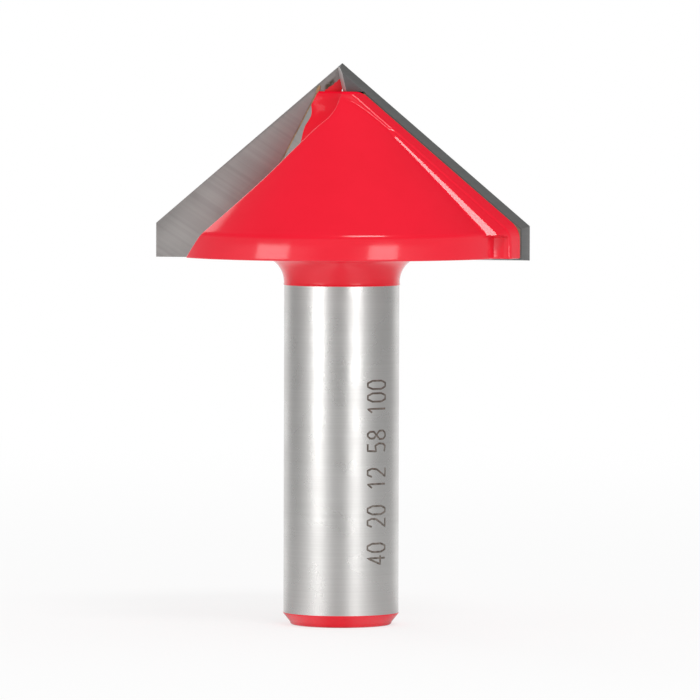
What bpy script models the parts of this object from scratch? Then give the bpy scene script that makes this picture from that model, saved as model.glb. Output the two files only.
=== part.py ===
"""Two-flute V-groove engraving router bit, standing on its shank end with the tip up.

A turned steel body carries a cone head. Two gullets are milled into the head, and beside each one a
land stands proud of the cone to back a carbide tip. Each tip lies in an open pocket on a thin layer
of braze, with its face in the plane through the axis. The two sides are copies half a turn apart.
Lengths are in metres, the axis is Z, and blade a points along +X and cuts towards +Y.
"""

import math

import bmesh
import bpy
from mathutils import Vector

MM = 0.001

# Overall sizes of the bit
OVERALL_LENGTH = 58.5 * MM
CUTTING_DIAMETER = 40.0 * MM
CUTTING_HEIGHT = 20.35 * MM
INCLUDED_ANGLE = math.radians(100.0)

# Turned shank and neck
SHANK_DIAMETER = 12.0 * MM
END_CHAMFER_WIDTH = 0.7 * MM
END_CHAMFER_HEIGHT = 0.95 * MM
END_ROUND = 0.3 * MM
NECK_FILLET_RADIUS = 2.7 * MM
NECK_FILLET_END = math.radians(80.0)
TURNED_SIDES = 80

# Cone head
HEAD_RAISE = 0.25 * MM
RIM_HEIGHT = 2.5 * MM
RIM_SETBACK = 2.4 * MM
RIM_EDGE_ROUND = 0.25 * MM
UNDERSIDE_ROUND = 0.15 * MM
BLANK_ANGLE = math.radians(90.0)
HEAD_TOP_DROP = 3.0 * MM
HEAD_TOP_ROUND = 0.4 * MM

# Land behind each carbide tip
RELIEF_ANGLE = math.radians(17.0)
LAND_STEP = 0.1 * MM
HEEL_DEPTH = 3.45 * MM
HEEL_LEAN = 0.02
HEEL_FILLET = 0.2 * MM
LAND_CORNER_ROUND = 0.8 * MM
LAND_AHEAD = 0.6 * MM
LAND_PAST_AXIS = 3.0 * MM
HEAD_COLUMNS = 44
HEAD_LEVELS = 24

# Hollow that sweeps up from the cone to each heel, wider and deeper towards the rim
SWEEP_TOP = 51.4 * MM
SWEEP_GROWTH = 0.4
SWEEP_GAP_GROWTH = 0.13
SWEEP_START = 4.5 * MM

# Carbide tip
CARBIDE_THICKNESS = 1.65 * MM
FACE_CLEARANCE = 0.02 * MM
BOTTOM_RELIEF = math.radians(5.0)
TIP_TOP_WIDTH = 2.75 * MM
TIP_BOTTOM_WIDTH = 6.5 * MM
TIP_INNER_ANGLE = math.radians(62.3)
TIP_BEND_HEIGHT = 8.5 * MM
TIP_OVERHANG = 1.5 * MM
TIP_SEAT_GAP = 0.05 * MM
POINT_GASH_TOP = 0.53 * MM
POINT_GASH_FOOT = 0.02 * MM
POINT_GASH_DROP = 2.12 * MM
POINT_GASH_ANGLE = math.radians(25.0)

# Braze between a carbide tip and its pocket
BRAZE_GAP = 0.15 * MM
BRAZE_CLEARANCE = 0.015 * MM
BRAZE_SETBACK = 0.05 * MM

# Milled gullet. Each row is a station down the cutting edge: how far it lies below the tip,
# how wide the floor is from the cutting edge's line, and how far the blend reaches on the floor.
GULLET_STATIONS = (
    (1.5 * MM, 3.7 * MM, 5.0 * MM),
    (3.5 * MM, 5.45 * MM, 4.85 * MM),
    (4.5 * MM, 6.65 * MM, 4.6 * MM),
    (5.5 * MM, 7.55 * MM, 4.35 * MM),
    (6.7 * MM, 8.0 * MM, 4.05 * MM),
    (8.6 * MM, 8.9 * MM, 3.2 * MM),
    (12.0 * MM, 10.4 * MM, 2.0 * MM),
    (16.0 * MM, 11.45 * MM, 1.5 * MM),
    (20.0 * MM, 12.05 * MM, 1.3 * MM),
)
GULLET_WALL_LEAN = math.radians(11.7)
GULLET_WALL_REACH = 0.7
GULLET_BLEND_WEIGHT = 0.65
GULLET_BLEND_STEPS = 12

# Values that follow from the sizes above
CUTTING_RADIUS = CUTTING_DIAMETER / 2.0
EDGE_SLOPE = 1.0 / math.tan(INCLUDED_ANGLE / 2.0)
EDGE_COS = 1.0 / math.hypot(1.0, EDGE_SLOPE)
CUT_BOTTOM = OVERALL_LENGTH - CUTTING_HEIGHT
HEAD_BOTTOM = CUT_BOTTOM + HEAD_RAISE
RIM_TOP = HEAD_BOTTOM + RIM_HEIGHT
RIM_RADIUS = CUTTING_RADIUS - RIM_SETBACK
CONE_SLOPE = 1.0 / math.tan(BLANK_ANGLE / 2.0)
CONE_COS = 1.0 / math.hypot(1.0, CONE_SLOPE)
CONE_APEX = RIM_TOP + RIM_RADIUS * CONE_SLOPE
HEAD_TOP = OVERALL_LENGTH - HEAD_TOP_DROP
CORNER_HEIGHT = OVERALL_LENGTH - CUTTING_RADIUS * EDGE_SLOPE
RELIEF_SLOPE = math.tan(RELIEF_ANGLE)
POCKET_DEPTH = FACE_CLEARANCE + CARBIDE_THICKNESS + BRAZE_GAP
SHANK_RADIUS = SHANK_DIAMETER / 2.0
REACH = CUTTING_DIAMETER


def make_collection(name):
    """Make an empty collection in the scene."""
    group = bpy.data.collections.new(name)
    bpy.context.scene.collection.children.link(group)
    return group


def make_material(name, colour, roughness, metallic):
    """Make a plain Principled material."""
    material = bpy.data.materials.new(name)
    material.use_nodes = True
    shader = material.node_tree.nodes["Principled BSDF"]
    shader.inputs["Base Color"].default_value = (*colour, 1.0)
    shader.inputs["Roughness"].default_value = roughness
    shader.inputs["Metallic"].default_value = metallic
    return material


def add_object(name, mesh, group, material=None):
    """Add an object with this mesh to a collection, shaded smooth with sharp edges kept."""
    mesh.shade_smooth()
    mesh.set_sharp_from_angle(angle=math.radians(30.0))
    item = bpy.data.objects.new(name, mesh)
    group.objects.link(item)
    if material is not None:
        mesh.materials.append(material)
    return item


def add_turned_copy(item, name, group):
    """Add a copy of an object turned half a turn about the axis. The two share one mesh."""
    copy = bpy.data.objects.new(name, item.data)
    copy.rotation_euler = (0.0, 0.0, math.pi)
    group.objects.link(copy)
    return copy


def as_cutter(item):
    """Mark an object as a cutter, which isn't a part of the model."""
    item.hide_render = True
    item.display_type = "WIRE"
    return item


def cut(target, tool, operation="DIFFERENCE"):
    """Join or cut one object with another by an exact Boolean."""
    step = target.modifiers.new(f"{operation.lower()} {tool.name}", "BOOLEAN")
    step.operation = operation
    step.object = tool
    step.solver = "EXACT"


def loft(name, sections):
    """Make a closed mesh through a list of sections that all have the same number of points."""
    work = bmesh.new()
    rings = [[work.verts.new(point) for point in section] for section in sections]
    count = len(rings[0])
    for lower, upper in zip(rings, rings[1:]):
        for i in range(count):
            j = (i + 1) % count
            work.faces.new((lower[i], lower[j], upper[j], upper[i]))
    work.faces.new(list(reversed(rings[0])))
    work.faces.new(rings[-1])
    bmesh.ops.recalc_face_normals(work, faces=work.faces)
    mesh = bpy.data.meshes.new(name)
    work.to_mesh(mesh)
    work.free()
    return mesh


def prism(name, outline, start, end):
    """Extrude an outline of (x, z) points along Y from start to end."""
    return loft(name, [[(x, y, z) for x, z in outline] for y in (start, end)])


def meet(a, b, c, d):
    """Return the point where the line through a and b meets the line through c and d."""
    ax, az = a
    cx, cz = c
    bx, bz = b[0] - ax, b[1] - az
    dx, dz = d[0] - cx, d[1] - cz
    t = ((cx - ax) * dz - (cz - az) * dx) / (bx * dz - bz * dx)
    return (ax + t * bx, az + t * bz)


def shift(a, b, distance):
    """Move the line through a and b sideways, to the left of its direction."""
    dx, dz = b[0] - a[0], b[1] - a[1]
    length = math.hypot(dx, dz)
    ox, oz = -dz / length * distance, dx / length * distance
    return (a[0] + ox, a[1] + oz), (b[0] + ox, b[1] + oz)


def smooth_value(depth, column):
    """Read one column of the gullet stations at a depth below the tip, with a smooth curve between rows."""
    rows = GULLET_STATIONS
    depths = [row[0] for row in rows]
    values = [row[column] for row in rows]
    slopes = []
    for i in range(len(rows)):
        low, high = max(i - 1, 0), min(i + 1, len(rows) - 1)
        slopes.append((values[high] - values[low]) / (depths[high] - depths[low]))
    if depth <= depths[0]:
        return values[0] + slopes[0] * (depth - depths[0])
    if depth >= depths[-1]:
        return values[-1] + slopes[-1] * (depth - depths[-1])
    i = max(k for k in range(len(rows) - 1) if depths[k] <= depth)
    span = depths[i + 1] - depths[i]
    t = (depth - depths[i]) / span
    start = (2 * t**3 - 3 * t**2 + 1) * values[i] + (t**3 - 2 * t**2 + t) * span * slopes[i]
    end = (3 * t**2 - 2 * t**3) * values[i + 1] + (t**3 - t**2) * span * slopes[i + 1]
    return start + end


def shank_profile():
    """Return the outer profile of the shank and neck as (radius, height), from top to bottom."""
    fillet_foot = HEAD_BOTTOM - NECK_FILLET_RADIUS
    fillet_centre = SHANK_RADIUS + NECK_FILLET_RADIUS
    arc = []
    for i in range(9):
        turn = NECK_FILLET_END * (1.0 - i / 8.0)
        radius = fillet_centre - NECK_FILLET_RADIUS * math.cos(turn)
        arc.append((radius, fillet_foot + NECK_FILLET_RADIUS * math.sin(turn)))
    run = 0.5 * MM
    lead = (arc[0][0] + run * math.sin(NECK_FILLET_END), arc[0][1] + run * math.cos(NECK_FILLET_END))
    profile = [(0.0, HEAD_BOTTOM + RIM_HEIGHT / 2.0), (lead[0], HEAD_BOTTOM + RIM_HEIGHT / 2.0), lead]
    profile += arc
    end_radius = SHANK_RADIUS - END_CHAMFER_WIDTH
    profile += [(SHANK_RADIUS, END_ROUND + END_CHAMFER_HEIGHT), (end_radius, END_ROUND)]
    for i in range(1, 4):
        turn = math.radians(90.0) * i / 3.0
        radius = end_radius - END_ROUND * (1.0 - math.cos(turn))
        profile.append((radius, END_ROUND * (1.0 - math.sin(turn))))
    profile.append((0.0, 0.0))
    return profile


def turned_mesh(name, profile):
    """Make a mesh that holds only a turned profile, for a Screw modifier."""
    mesh = bpy.data.meshes.new(name)
    points = [(radius, 0.0, height) for radius, height in profile]
    edges = [(i, i + 1) for i in range(len(points) - 1)]
    mesh.from_pydata(points, edges, [])
    return mesh


def rounded_meet(a, b, radius):
    """Join two distances as solids that overlap, with a round outer edge."""
    corner = math.hypot(max(radius + a, 0.0), max(radius + b, 0.0))
    return min(-radius, max(a, b)) + corner


def filleted_join(a, b, radius):
    """Join two distances as solids added together, with a fillet in the inner corner."""
    corner = math.hypot(max(radius - a, 0.0), max(radius - b, 0.0))
    return max(radius, min(a, b)) - corner


def cone_distance(radius, z):
    """Distance outside the blank's cone."""
    return (z - CONE_APEX + CONE_SLOPE * radius) * CONE_COS


def turned_distance(x, y, z):
    """Distance outside the turned cone and rim."""
    radius = math.hypot(x, y)
    return rounded_meet(cone_distance(radius, z), radius - RIM_RADIUS, RIM_EDGE_ROUND)


def land_distance(x, y, z):
    """Distance outside the top and side of blade a's land."""
    behind = -y
    top = (z - OVERALL_LENGTH + EDGE_SLOPE * x) * EDGE_COS + RELIEF_SLOPE * behind + LAND_STEP
    side = x - CUTTING_RADIUS + RELIEF_SLOPE * behind + LAND_STEP
    return rounded_meet(top, side, LAND_CORNER_ROUND)


def sweep_distance(x, y, z, heel):
    """Distance outside the hollow that sweeps up from the cone to blade a's heel."""
    depth = SWEEP_TOP - z
    if depth <= 0.0 or z < RIM_TOP:
        return math.inf
    hollow = filleted_join(cone_distance(math.hypot(x, y), z), heel, SWEEP_GROWTH * depth)
    below = land_distance(x, y, z) + SWEEP_GAP_GROWTH * depth
    return max(hollow, below, SWEEP_START - x)


def head_distance(x, y, z):
    """Distance outside the head blank, on blade a's half."""
    heel = -y - HEEL_DEPTH - HEEL_LEAN * x
    land = max(land_distance(x, y, z), heel, -x - LAND_PAST_AXIS)
    blank = filleted_join(turned_distance(x, y, z), land, HEEL_FILLET)
    return min(blank, sweep_distance(x, y, z, heel))


def surface_point(start, direction, z, inset, distance):
    """Walk out from a start point in a level plane until the surface, less its inset, is met."""
    low, high = 0.0, REACH
    for _ in range(48):
        middle = (low + high) / 2.0
        x = start[0] + direction[0] * middle
        y = start[1] + direction[1] * middle
        if distance(x, y, z) > -inset:
            high = middle
        else:
            low = middle
    return (start[0] + direction[0] * low, start[1] + direction[1] * low, z)


def head_section(z, inset, columns):
    """Return the outline of the head blank at one height, blade a's half and then its copy."""
    half = []
    for behind in (-LAND_AHEAD, HEEL_DEPTH * 0.3, HEEL_DEPTH * 0.7):
        half.append(surface_point((0.0, -behind), (1.0, 0.0), z, inset, land_distance))
    heel = surface_point((0.0, inset - HEEL_DEPTH), (1.0, -HEEL_LEAN), z, inset, land_distance)
    half.append(heel)
    foot = surface_point((0.0, -LAND_AHEAD), (-1.0, 0.0), z, inset, head_distance)
    first = math.atan2(-heel[1], heel[0])
    last = math.atan2(-foot[1], foot[0])
    for i in range(1, columns):
        turn = first + (last - first) * (i / columns) ** 1.6
        direction = (math.cos(turn), -math.sin(turn))
        half.append(surface_point((0.0, 0.0), direction, z, inset, head_distance))
    half.append(foot)
    return half + [(-x, -y, level) for x, y, level in half]


def head_levels():
    """Return the heights of the head's outlines, each with how far its edge round draws it in."""
    levels = []
    for i in range(4):
        turn = math.radians(90.0) * i / 3.0
        rise = UNDERSIDE_ROUND * (1.0 - math.cos(turn))
        levels.append((HEAD_BOTTOM + rise, UNDERSIDE_ROUND * (1.0 - math.sin(turn))))
    for rise in (-1.0, -0.45, 0.0, 0.4, 1.0):
        levels.append((RIM_TOP + RIM_EDGE_ROUND * rise, 0.0))
    for rise in (-0.6, -0.2, 0.2, 0.6):
        levels.append((CORNER_HEIGHT + LAND_CORNER_ROUND * (rise - 0.1), 0.0))
    start = CORNER_HEIGHT + LAND_CORNER_ROUND
    end = HEAD_TOP - HEAD_TOP_ROUND
    for i in range(HEAD_LEVELS):
        levels.append((start + (end - start) * (i / (HEAD_LEVELS - 1)) ** 0.8, 0.0))
    for i in range(1, 4):
        turn = math.radians(90.0) * i / 3.0
        levels.append((end + HEAD_TOP_ROUND * math.sin(turn), HEAD_TOP_ROUND * (1.0 - math.cos(turn))))
    return sorted(levels)


def head_mesh(name):
    """Loft the head blank, a cone with a rim and two lands, from its outlines at each height."""
    return loft(name, [head_section(z, inset, HEAD_COLUMNS) for z, inset in head_levels()])


def gullet_section(z):
    """Return the outline of the gullet in front of blade b at one height."""
    drop = OVERALL_LENGTH - z
    foot = smooth_value(drop, 1) - drop / EDGE_SLOPE
    floor_reach = smooth_value(drop, 2)
    wall_reach = floor_reach * GULLET_WALL_REACH
    wall = (-math.sin(GULLET_WALL_LEAN), -math.cos(GULLET_WALL_LEAN))
    floor_end = (foot - floor_reach, 0.0)
    wall_end = (foot + wall[0] * wall_reach, wall[1] * wall_reach)
    points = [(-REACH, 0.0, z)]
    for i in range(GULLET_BLEND_STEPS + 1):
        t = i / GULLET_BLEND_STEPS
        a, b, c = (1.0 - t) ** 2, 2.0 * GULLET_BLEND_WEIGHT * t * (1.0 - t), t**2
        x = (a * floor_end[0] + b * foot + c * wall_end[0]) / (a + b + c)
        y = (a * floor_end[1] + c * wall_end[1]) / (a + b + c)
        points.append((x, y, z))
    points.append((foot + wall[0] * REACH, wall[1] * REACH, z))
    points.append((-REACH, wall[1] * REACH, z))
    return points


def gullet_mesh(name):
    """Loft the gullet's cutter through the head's own heights, and on past its bottom and top."""
    heights = [HEAD_BOTTOM - 1.0 * MM, *(z for z, _ in head_levels()), HEAD_TOP + 0.5 * MM]
    return loft(name, [gullet_section(z) for z in heights])


def tip_inner_line():
    """Return the inner edge of blade a's carbide tip as three (x, z) points from top to bottom."""
    top = (TIP_TOP_WIDTH, HEAD_TOP + TIP_SEAT_GAP)
    bend_z = CUT_BOTTOM + TIP_BEND_HEIGHT
    bend = (top[0] + (top[1] - bend_z) / math.tan(TIP_INNER_ANGLE), bend_z)
    return top, bend, (CUTTING_RADIUS - TIP_BOTTOM_WIDTH, CUT_BOTTOM)


def grind(mesh, point, normal):
    """Grind a mesh flat: remove what lies in front of a plane and close the cut."""
    work = bmesh.new()
    work.from_mesh(mesh)
    parts = work.verts[:] + work.edges[:] + work.faces[:]
    result = bmesh.ops.bisect_plane(
        work, geom=parts, plane_co=point, plane_no=Vector(normal).normalized(), clear_outer=True
    )
    rim = [item for item in result["geom_cut"] if isinstance(item, bmesh.types.BMEdge)]
    if rim:
        bmesh.ops.holes_fill(work, edges=rim)
    bmesh.ops.recalc_face_normals(work, faces=work.faces)
    work.to_mesh(mesh)
    work.free()


def grind_relief(mesh, setback):
    """Grind the relief behind blade a's cutting edge and on its side, this far under the edge."""
    point = Vector((0.0, -FACE_CLEARANCE, OVERALL_LENGTH - setback / EDGE_COS))
    grind(mesh, point, (EDGE_SLOPE, -RELIEF_SLOPE / EDGE_COS, 1.0))
    side = Vector((CUTTING_RADIUS - setback, -FACE_CLEARANCE, 0.0))
    grind(mesh, side, (1.0, -RELIEF_SLOPE, 0.0))


def tip_mesh(name):
    """Make blade a's carbide tip: a plate from its face to its back, ground on every side."""
    outline = inner_edge_outline(0.0, CUT_BOTTOM - 1.0 * MM, HEAD_TOP + TIP_SEAT_GAP)
    high, low, corner = outline[0], outline[3], outline[4]
    overhang = (-TIP_OVERHANG, HEAD_TOP + TIP_SEAT_GAP)
    above = OVERALL_LENGTH + 1.0 * MM
    points = [high, overhang, (-TIP_OVERHANG, above), (REACH, above), (REACH, low[1]), low, corner]
    back = -FACE_CLEARANCE - CARBIDE_THICKNESS
    mesh = prism(name, points, back, -FACE_CLEARANCE)
    grind_relief(mesh, 0.0)
    point = Vector((0.0, -FACE_CLEARANCE, OVERALL_LENGTH))
    grind(mesh, point, (-EDGE_SLOPE, -RELIEF_SLOPE / EDGE_COS, 1.0))
    foot = Vector((0.0, -FACE_CLEARANCE, CUT_BOTTOM))
    grind(mesh, foot, (0.0, -math.tan(BOTTOM_RELIEF), -1.0))
    gash_top = Vector((-POINT_GASH_TOP, -FACE_CLEARANCE, OVERALL_LENGTH - POINT_GASH_TOP * EDGE_SLOPE))
    gash_foot = gash_top + Vector((POINT_GASH_TOP - POINT_GASH_FOOT, 0.0, -POINT_GASH_DROP))
    along = Vector((math.sin(POINT_GASH_ANGLE), -math.cos(POINT_GASH_ANGLE), 0.0))
    normal = (gash_top - gash_foot).cross(along)
    if normal.x > 0.0:
        normal.negate()
    grind(mesh, gash_foot, normal)
    return mesh


def inner_edge_outline(offset, bottom, top_line):
    """Return an outline that starts on the tip's inner edge, moved inwards, and reaches past the blade."""
    top, bend, foot = tip_inner_line()
    upper = shift(top, bend, -offset)
    lower = shift(bend, foot, -offset)
    corner = meet(*upper, *lower)
    high = meet(*upper, (0.0, top_line), (1.0, top_line))
    low = meet(*lower, (0.0, bottom), (1.0, bottom))
    return [high, (REACH, top_line), (REACH, bottom), low, corner]


def pocket_mesh(name):
    """Make the cutter for blade a's open pocket, deep enough for the tip and its braze."""
    outline = inner_edge_outline(BRAZE_GAP, CUT_BOTTOM - 1.0 * MM, OVERALL_LENGTH)
    return prism(name, outline, -POCKET_DEPTH, 1.0 * MM)


def braze_mesh(name):
    """Make the braze blank, which fills blade a's pocket to just under the land's surface."""
    bottom = HEAD_BOTTOM + BRAZE_SETBACK
    top_line = HEAD_TOP - BRAZE_SETBACK
    outline = inner_edge_outline(BRAZE_GAP - BRAZE_CLEARANCE, bottom, top_line)
    mesh = prism(name, outline, BRAZE_CLEARANCE - POCKET_DEPTH, -FACE_CLEARANCE)
    grind_relief(mesh, LAND_STEP + BRAZE_SETBACK)
    return mesh


def braze_seat_mesh(name):
    """Make the cutter that leaves room for blade a's carbide tip in its braze."""
    outline = inner_edge_outline(BRAZE_CLEARANCE, CUT_BOTTOM - 2.0 * MM, OVERALL_LENGTH)
    back = FACE_CLEARANCE + CARBIDE_THICKNESS + BRAZE_CLEARANCE
    return prism(name, outline, -back, 1.0 * MM)


def main():
    """Build the router bit."""
    for item in list(bpy.data.objects):
        bpy.data.objects.remove(item, do_unlink=True)

    parts = make_collection("engraving_router_bit")
    cutters = make_collection("cutters")

    paint = make_material("red paint", (0.80, 0.02, 0.045), 0.22, 0.0)
    carbide = make_material("ground carbide", (0.30, 0.29, 0.28), 0.38, 1.0)
    brass = make_material("braze", (0.72, 0.50, 0.22), 0.35, 1.0)

    body = add_object("cutter_body", turned_mesh("cutter_body", shank_profile()), parts, paint)
    turn = body.modifiers.new("turned shank", "SCREW")
    turn.angle = math.radians(360.0)
    turn.steps = TURNED_SIDES
    turn.render_steps = TURNED_SIDES
    turn.use_merge_vertices = True
    turn.merge_threshold = 0.000001

    head = as_cutter(add_object("head_blank", head_mesh("head_blank"), cutters))
    cut(body, head, "UNION")
    gullet_b = as_cutter(add_object("gullet_b", gullet_mesh("gullet"), cutters))
    gullet_a = as_cutter(add_turned_copy(gullet_b, "gullet_a", cutters))
    pocket_a = as_cutter(add_object("pocket_a", pocket_mesh("pocket"), cutters))
    pocket_b = as_cutter(add_turned_copy(pocket_a, "pocket_b", cutters))
    for tool in (gullet_a, gullet_b, pocket_a, pocket_b):
        cut(body, tool)

    tip_a = add_object("carbide_tip_a", tip_mesh("carbide_tip"), parts, carbide)
    add_turned_copy(tip_a, "carbide_tip_b", parts)

    seat_a = as_cutter(add_object("braze_seat_a", braze_seat_mesh("braze_seat"), cutters))
    seat_b = as_cutter(add_turned_copy(seat_a, "braze_seat_b", cutters))
    braze_a = add_object("braze_joint_a", braze_mesh("braze_joint"), parts, brass)
    braze_b = add_turned_copy(braze_a, "braze_joint_b", parts)
    cut(braze_a, seat_a)
    cut(braze_b, seat_b)


if __name__ == "__main__":
    main()
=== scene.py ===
"""Dresses the two-flute V-groove router bit and puts it in a plain studio.

The body is made again as one fine mesh from the same forms as its solid: a head of outlines stacked
along the axis, and a turned neck and shank. Red gloss paint covers the head, the neck and the end
chamfer, and the shank and the strips beside the blades are bare ground steel. The carbide blades get
their ground, sintered and painted faces, with painted shade on the flanks and near the tip and a
painted highlight on the gashes, and each has a bead of braze at its top. A row of plain numbers is
etched on the shank.
"""

import logging
import math
from collections.abc import Callable, Iterable, Sequence
from dataclasses import dataclass, field
from enum import Enum

import bmesh
import bpy
from mathutils import Matrix, Vector
from mathutils.geometry import delaunay_2d_cdt

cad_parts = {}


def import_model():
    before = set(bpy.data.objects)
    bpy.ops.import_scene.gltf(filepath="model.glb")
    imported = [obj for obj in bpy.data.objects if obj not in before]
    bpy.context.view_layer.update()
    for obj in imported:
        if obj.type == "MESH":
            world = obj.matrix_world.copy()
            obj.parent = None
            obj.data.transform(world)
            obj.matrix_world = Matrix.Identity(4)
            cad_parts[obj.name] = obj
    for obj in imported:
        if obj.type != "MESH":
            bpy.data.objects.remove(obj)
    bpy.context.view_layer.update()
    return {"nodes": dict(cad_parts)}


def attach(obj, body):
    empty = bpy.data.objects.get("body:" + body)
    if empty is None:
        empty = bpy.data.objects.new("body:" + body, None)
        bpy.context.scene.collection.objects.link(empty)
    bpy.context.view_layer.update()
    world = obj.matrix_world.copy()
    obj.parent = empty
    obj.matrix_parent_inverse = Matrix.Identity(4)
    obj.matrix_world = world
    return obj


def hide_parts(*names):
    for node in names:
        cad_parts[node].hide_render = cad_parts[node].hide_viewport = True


MM = 0.001
WELD = 0.001 * MM
HALVINGS = 40
LOG = logging.getLogger("router_bit")

Point = tuple[float, float, float]
FlatPoint = tuple[float, float]
Colour = tuple[float, float, float]
Span = tuple[float, float]


class Zone(Enum):
    """The finish that a face of the body carries, as its material's place on the mesh."""

    PAINT = 0
    STEEL = 1
    STRIP = 2
    TOP = 3
    GULLET = 4


class BladeFace(Enum):
    """The finish that a face of a blade carries, as its material's place on the mesh."""

    RAKE = 0
    FLANK = 1
    BACK = 2
    GASH = 3


class Side(Enum):
    """The two sides of the bit, half a turn apart, as the turn from side a."""

    A = 0.0
    B = math.pi

    def turn(self) -> Matrix:
        """Return the turn about the axis that takes side a to this side."""
        return Matrix.Rotation(self.value, 4, "Z")


@dataclass(frozen=True)
class BitSizes:
    """The bit's sizes, as in its solids."""

    overall_length: float = 58.5 * MM
    cutting_diameter: float = 40.0 * MM
    cutting_height: float = 20.35 * MM
    included_angle: float = math.radians(100.0)
    shank_diameter: float = 12.0 * MM
    end_chamfer_width: float = 0.7 * MM
    end_chamfer_height: float = 0.95 * MM
    end_round: float = 0.3 * MM
    neck_fillet: float = 2.7 * MM
    neck_fillet_end: float = math.radians(80.0)
    head_raise: float = 0.25 * MM
    rim_height: float = 2.5 * MM
    rim_setback: float = 2.4 * MM
    rim_edge_round: float = 0.25 * MM
    underside_round: float = 0.15 * MM
    blank_angle: float = math.radians(90.0)
    head_top_drop: float = 3.0 * MM
    head_top_round: float = 0.4 * MM
    relief_angle: float = math.radians(17.0)
    land_step: float = 0.1 * MM
    heel_depth: float = 3.45 * MM
    heel_lean: float = 0.02
    land_corner_round: float = 0.8 * MM
    land_past_axis: float = 3.0 * MM
    carbide_thickness: float = 1.65 * MM
    face_clearance: float = 0.02 * MM
    braze_gap: float = 0.15 * MM
    tip_top_width: float = 2.75 * MM
    tip_bottom_width: float = 6.5 * MM
    tip_inner_angle: float = math.radians(62.3)
    tip_bend_height: float = 8.5 * MM
    tip_seat_gap: float = 0.05 * MM

    @property
    def edge_slope(self) -> float:
        """Return how far the cutting edge drops for each unit of radius."""
        return 1.0 / math.tan(self.included_angle / 2.0)

    @property
    def edge_cos(self) -> float:
        """Return the cosine of the cutting edge's fall."""
        return 1.0 / math.hypot(1.0, self.edge_slope)

    @property
    def cut_bottom(self) -> float:
        """Return the height of the blades' bottom."""
        return self.overall_length - self.cutting_height

    @property
    def head_bottom(self) -> float:
        """Return the height of the head's underside."""
        return self.cut_bottom + self.head_raise

    @property
    def head_top(self) -> float:
        """Return the height of the body's small flat top."""
        return self.overall_length - self.head_top_drop

    @property
    def rim_top(self) -> float:
        """Return the height at which the rim meets the cone."""
        return self.head_bottom + self.rim_height

    @property
    def rim_radius(self) -> float:
        """Return the radius of the rim."""
        return self.cutting_diameter / 2.0 - self.rim_setback

    @property
    def cone_slope(self) -> float:
        """Return how far the body's cone drops for each unit of radius."""
        return 1.0 / math.tan(self.blank_angle / 2.0)

    @property
    def cone_apex(self) -> float:
        """Return the height at which the body's cone would end in a point."""
        return self.rim_top + self.rim_radius * self.cone_slope

    @property
    def corner_height(self) -> float:
        """Return the height of the cutting edge's outer corner."""
        return self.overall_length - self.cutting_diameter / 2.0 * self.edge_slope

    @property
    def pocket_depth(self) -> float:
        """Return how far the pocket's back lies behind the plane through the axis."""
        return self.face_clearance + self.carbide_thickness + self.braze_gap


@dataclass(frozen=True)
class PaintSizes:
    """Sizes of the paint film and of the rounds that it gives to sharp edges.

    A lip's points are how far each lies from the paint's edge, and its share of the lip's swell.
    """

    neck_edge: float = 35.42 * MM
    end_edge: float = 1.3 * MM
    film: float = 0.045 * MM
    lip: float = 0.03 * MM
    neck_lip_reach: float = 0.2 * MM
    neck_lip: tuple[FlatPoint, ...] = (
        (0.13 * MM, 0.75),
        (0.08 * MM, 0.97),
        (0.045 * MM, 1.0),
        (0.018 * MM, 0.85),
        (0.004 * MM, 0.5),
    )
    end_lip_reach: float = 0.1 * MM
    end_lip_share: float = 0.6
    end_lip: tuple[FlatPoint, ...] = (
        (0.004 * MM, 0.5),
        (0.02 * MM, 0.9),
        (0.05 * MM, 1.0),
        (0.09 * MM, 0.8),
    )
    heel_edge_round: float = 0.28 * MM
    heel_foot_fillet: float = 0.08 * MM
    gullet_edge_round: float = 0.2 * MM


@dataclass(frozen=True)
class HeelWall:
    """Side a's second relief behind the land's heel, and the wall that slopes from it to the cone."""

    relief: float = 0.08
    step: float = 0.1 * MM
    start: Point = (6.815 * MM, -3.83 * MM, 51.02 * MM)
    facing: Point = (0.3253, -0.8152, 0.4792)
    edge_round: float = 0.08 * MM
    foot_fillet: float = 0.03 * MM
    foot_growth: float = 0.01
    end_taper: float = 4.0
    start_taper: float = 0.3


@dataclass(frozen=True)
class GulletStation:
    """One station of the milled gullet, measured down the cutting edge."""

    drop: float
    floor_width: float
    blend_reach: float


GULLET_STATIONS = tuple(
    GulletStation(drop * MM, width * MM, reach * MM)
    for drop, width, reach in (
        (1.5, 3.7, 5.0),
        (3.5, 5.45, 4.85),
        (4.5, 6.65, 4.6),
        (5.5, 7.55, 4.35),
        (6.7, 8.0, 4.05),
        (8.6, 8.9, 3.2),
        (12.0, 10.4, 2.0),
        (16.0, 11.45, 1.5),
        (20.0, 12.05, 1.3),
    )
)


def rounded_meet(a: float, b: float, radius: float) -> float:
    """Join two distances as solids that overlap, with a round outer edge.

    Args:
        a: Distance outside the first form.
        b: Distance outside the second form.
        radius: Radius of the edge.

    Returns:
        Distance outside what the two share.
    """
    corner = math.hypot(max(radius + a, 0.0), max(radius + b, 0.0))
    return min(-radius, max(a, b)) + corner


def filleted_join(a: float, b: float, radius: float) -> float:
    """Join two distances as solids added together, with a fillet in the inner corner.

    Args:
        a: Distance outside the first form.
        b: Distance outside the second form.
        radius: Radius of the fillet.

    Returns:
        Distance outside the joined form.
    """
    corner = math.hypot(max(radius - a, 0.0), max(radius - b, 0.0))
    return max(radius, min(a, b)) - corner


def crossing(measure: Callable[[float], float], low: float, high: float) -> float:
    """Find where a measure turns positive between two values, by halving.

    Args:
        measure: Function that is negative at low and positive at high.
        low: Value on the inside.
        high: Value on the outside.

    Returns:
        The value at which the measure is zero.
    """
    for _ in range(HALVINGS):
        middle = (low + high) / 2.0
        if measure(middle) > 0.0:
            high = middle
        else:
            low = middle
    return low


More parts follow.
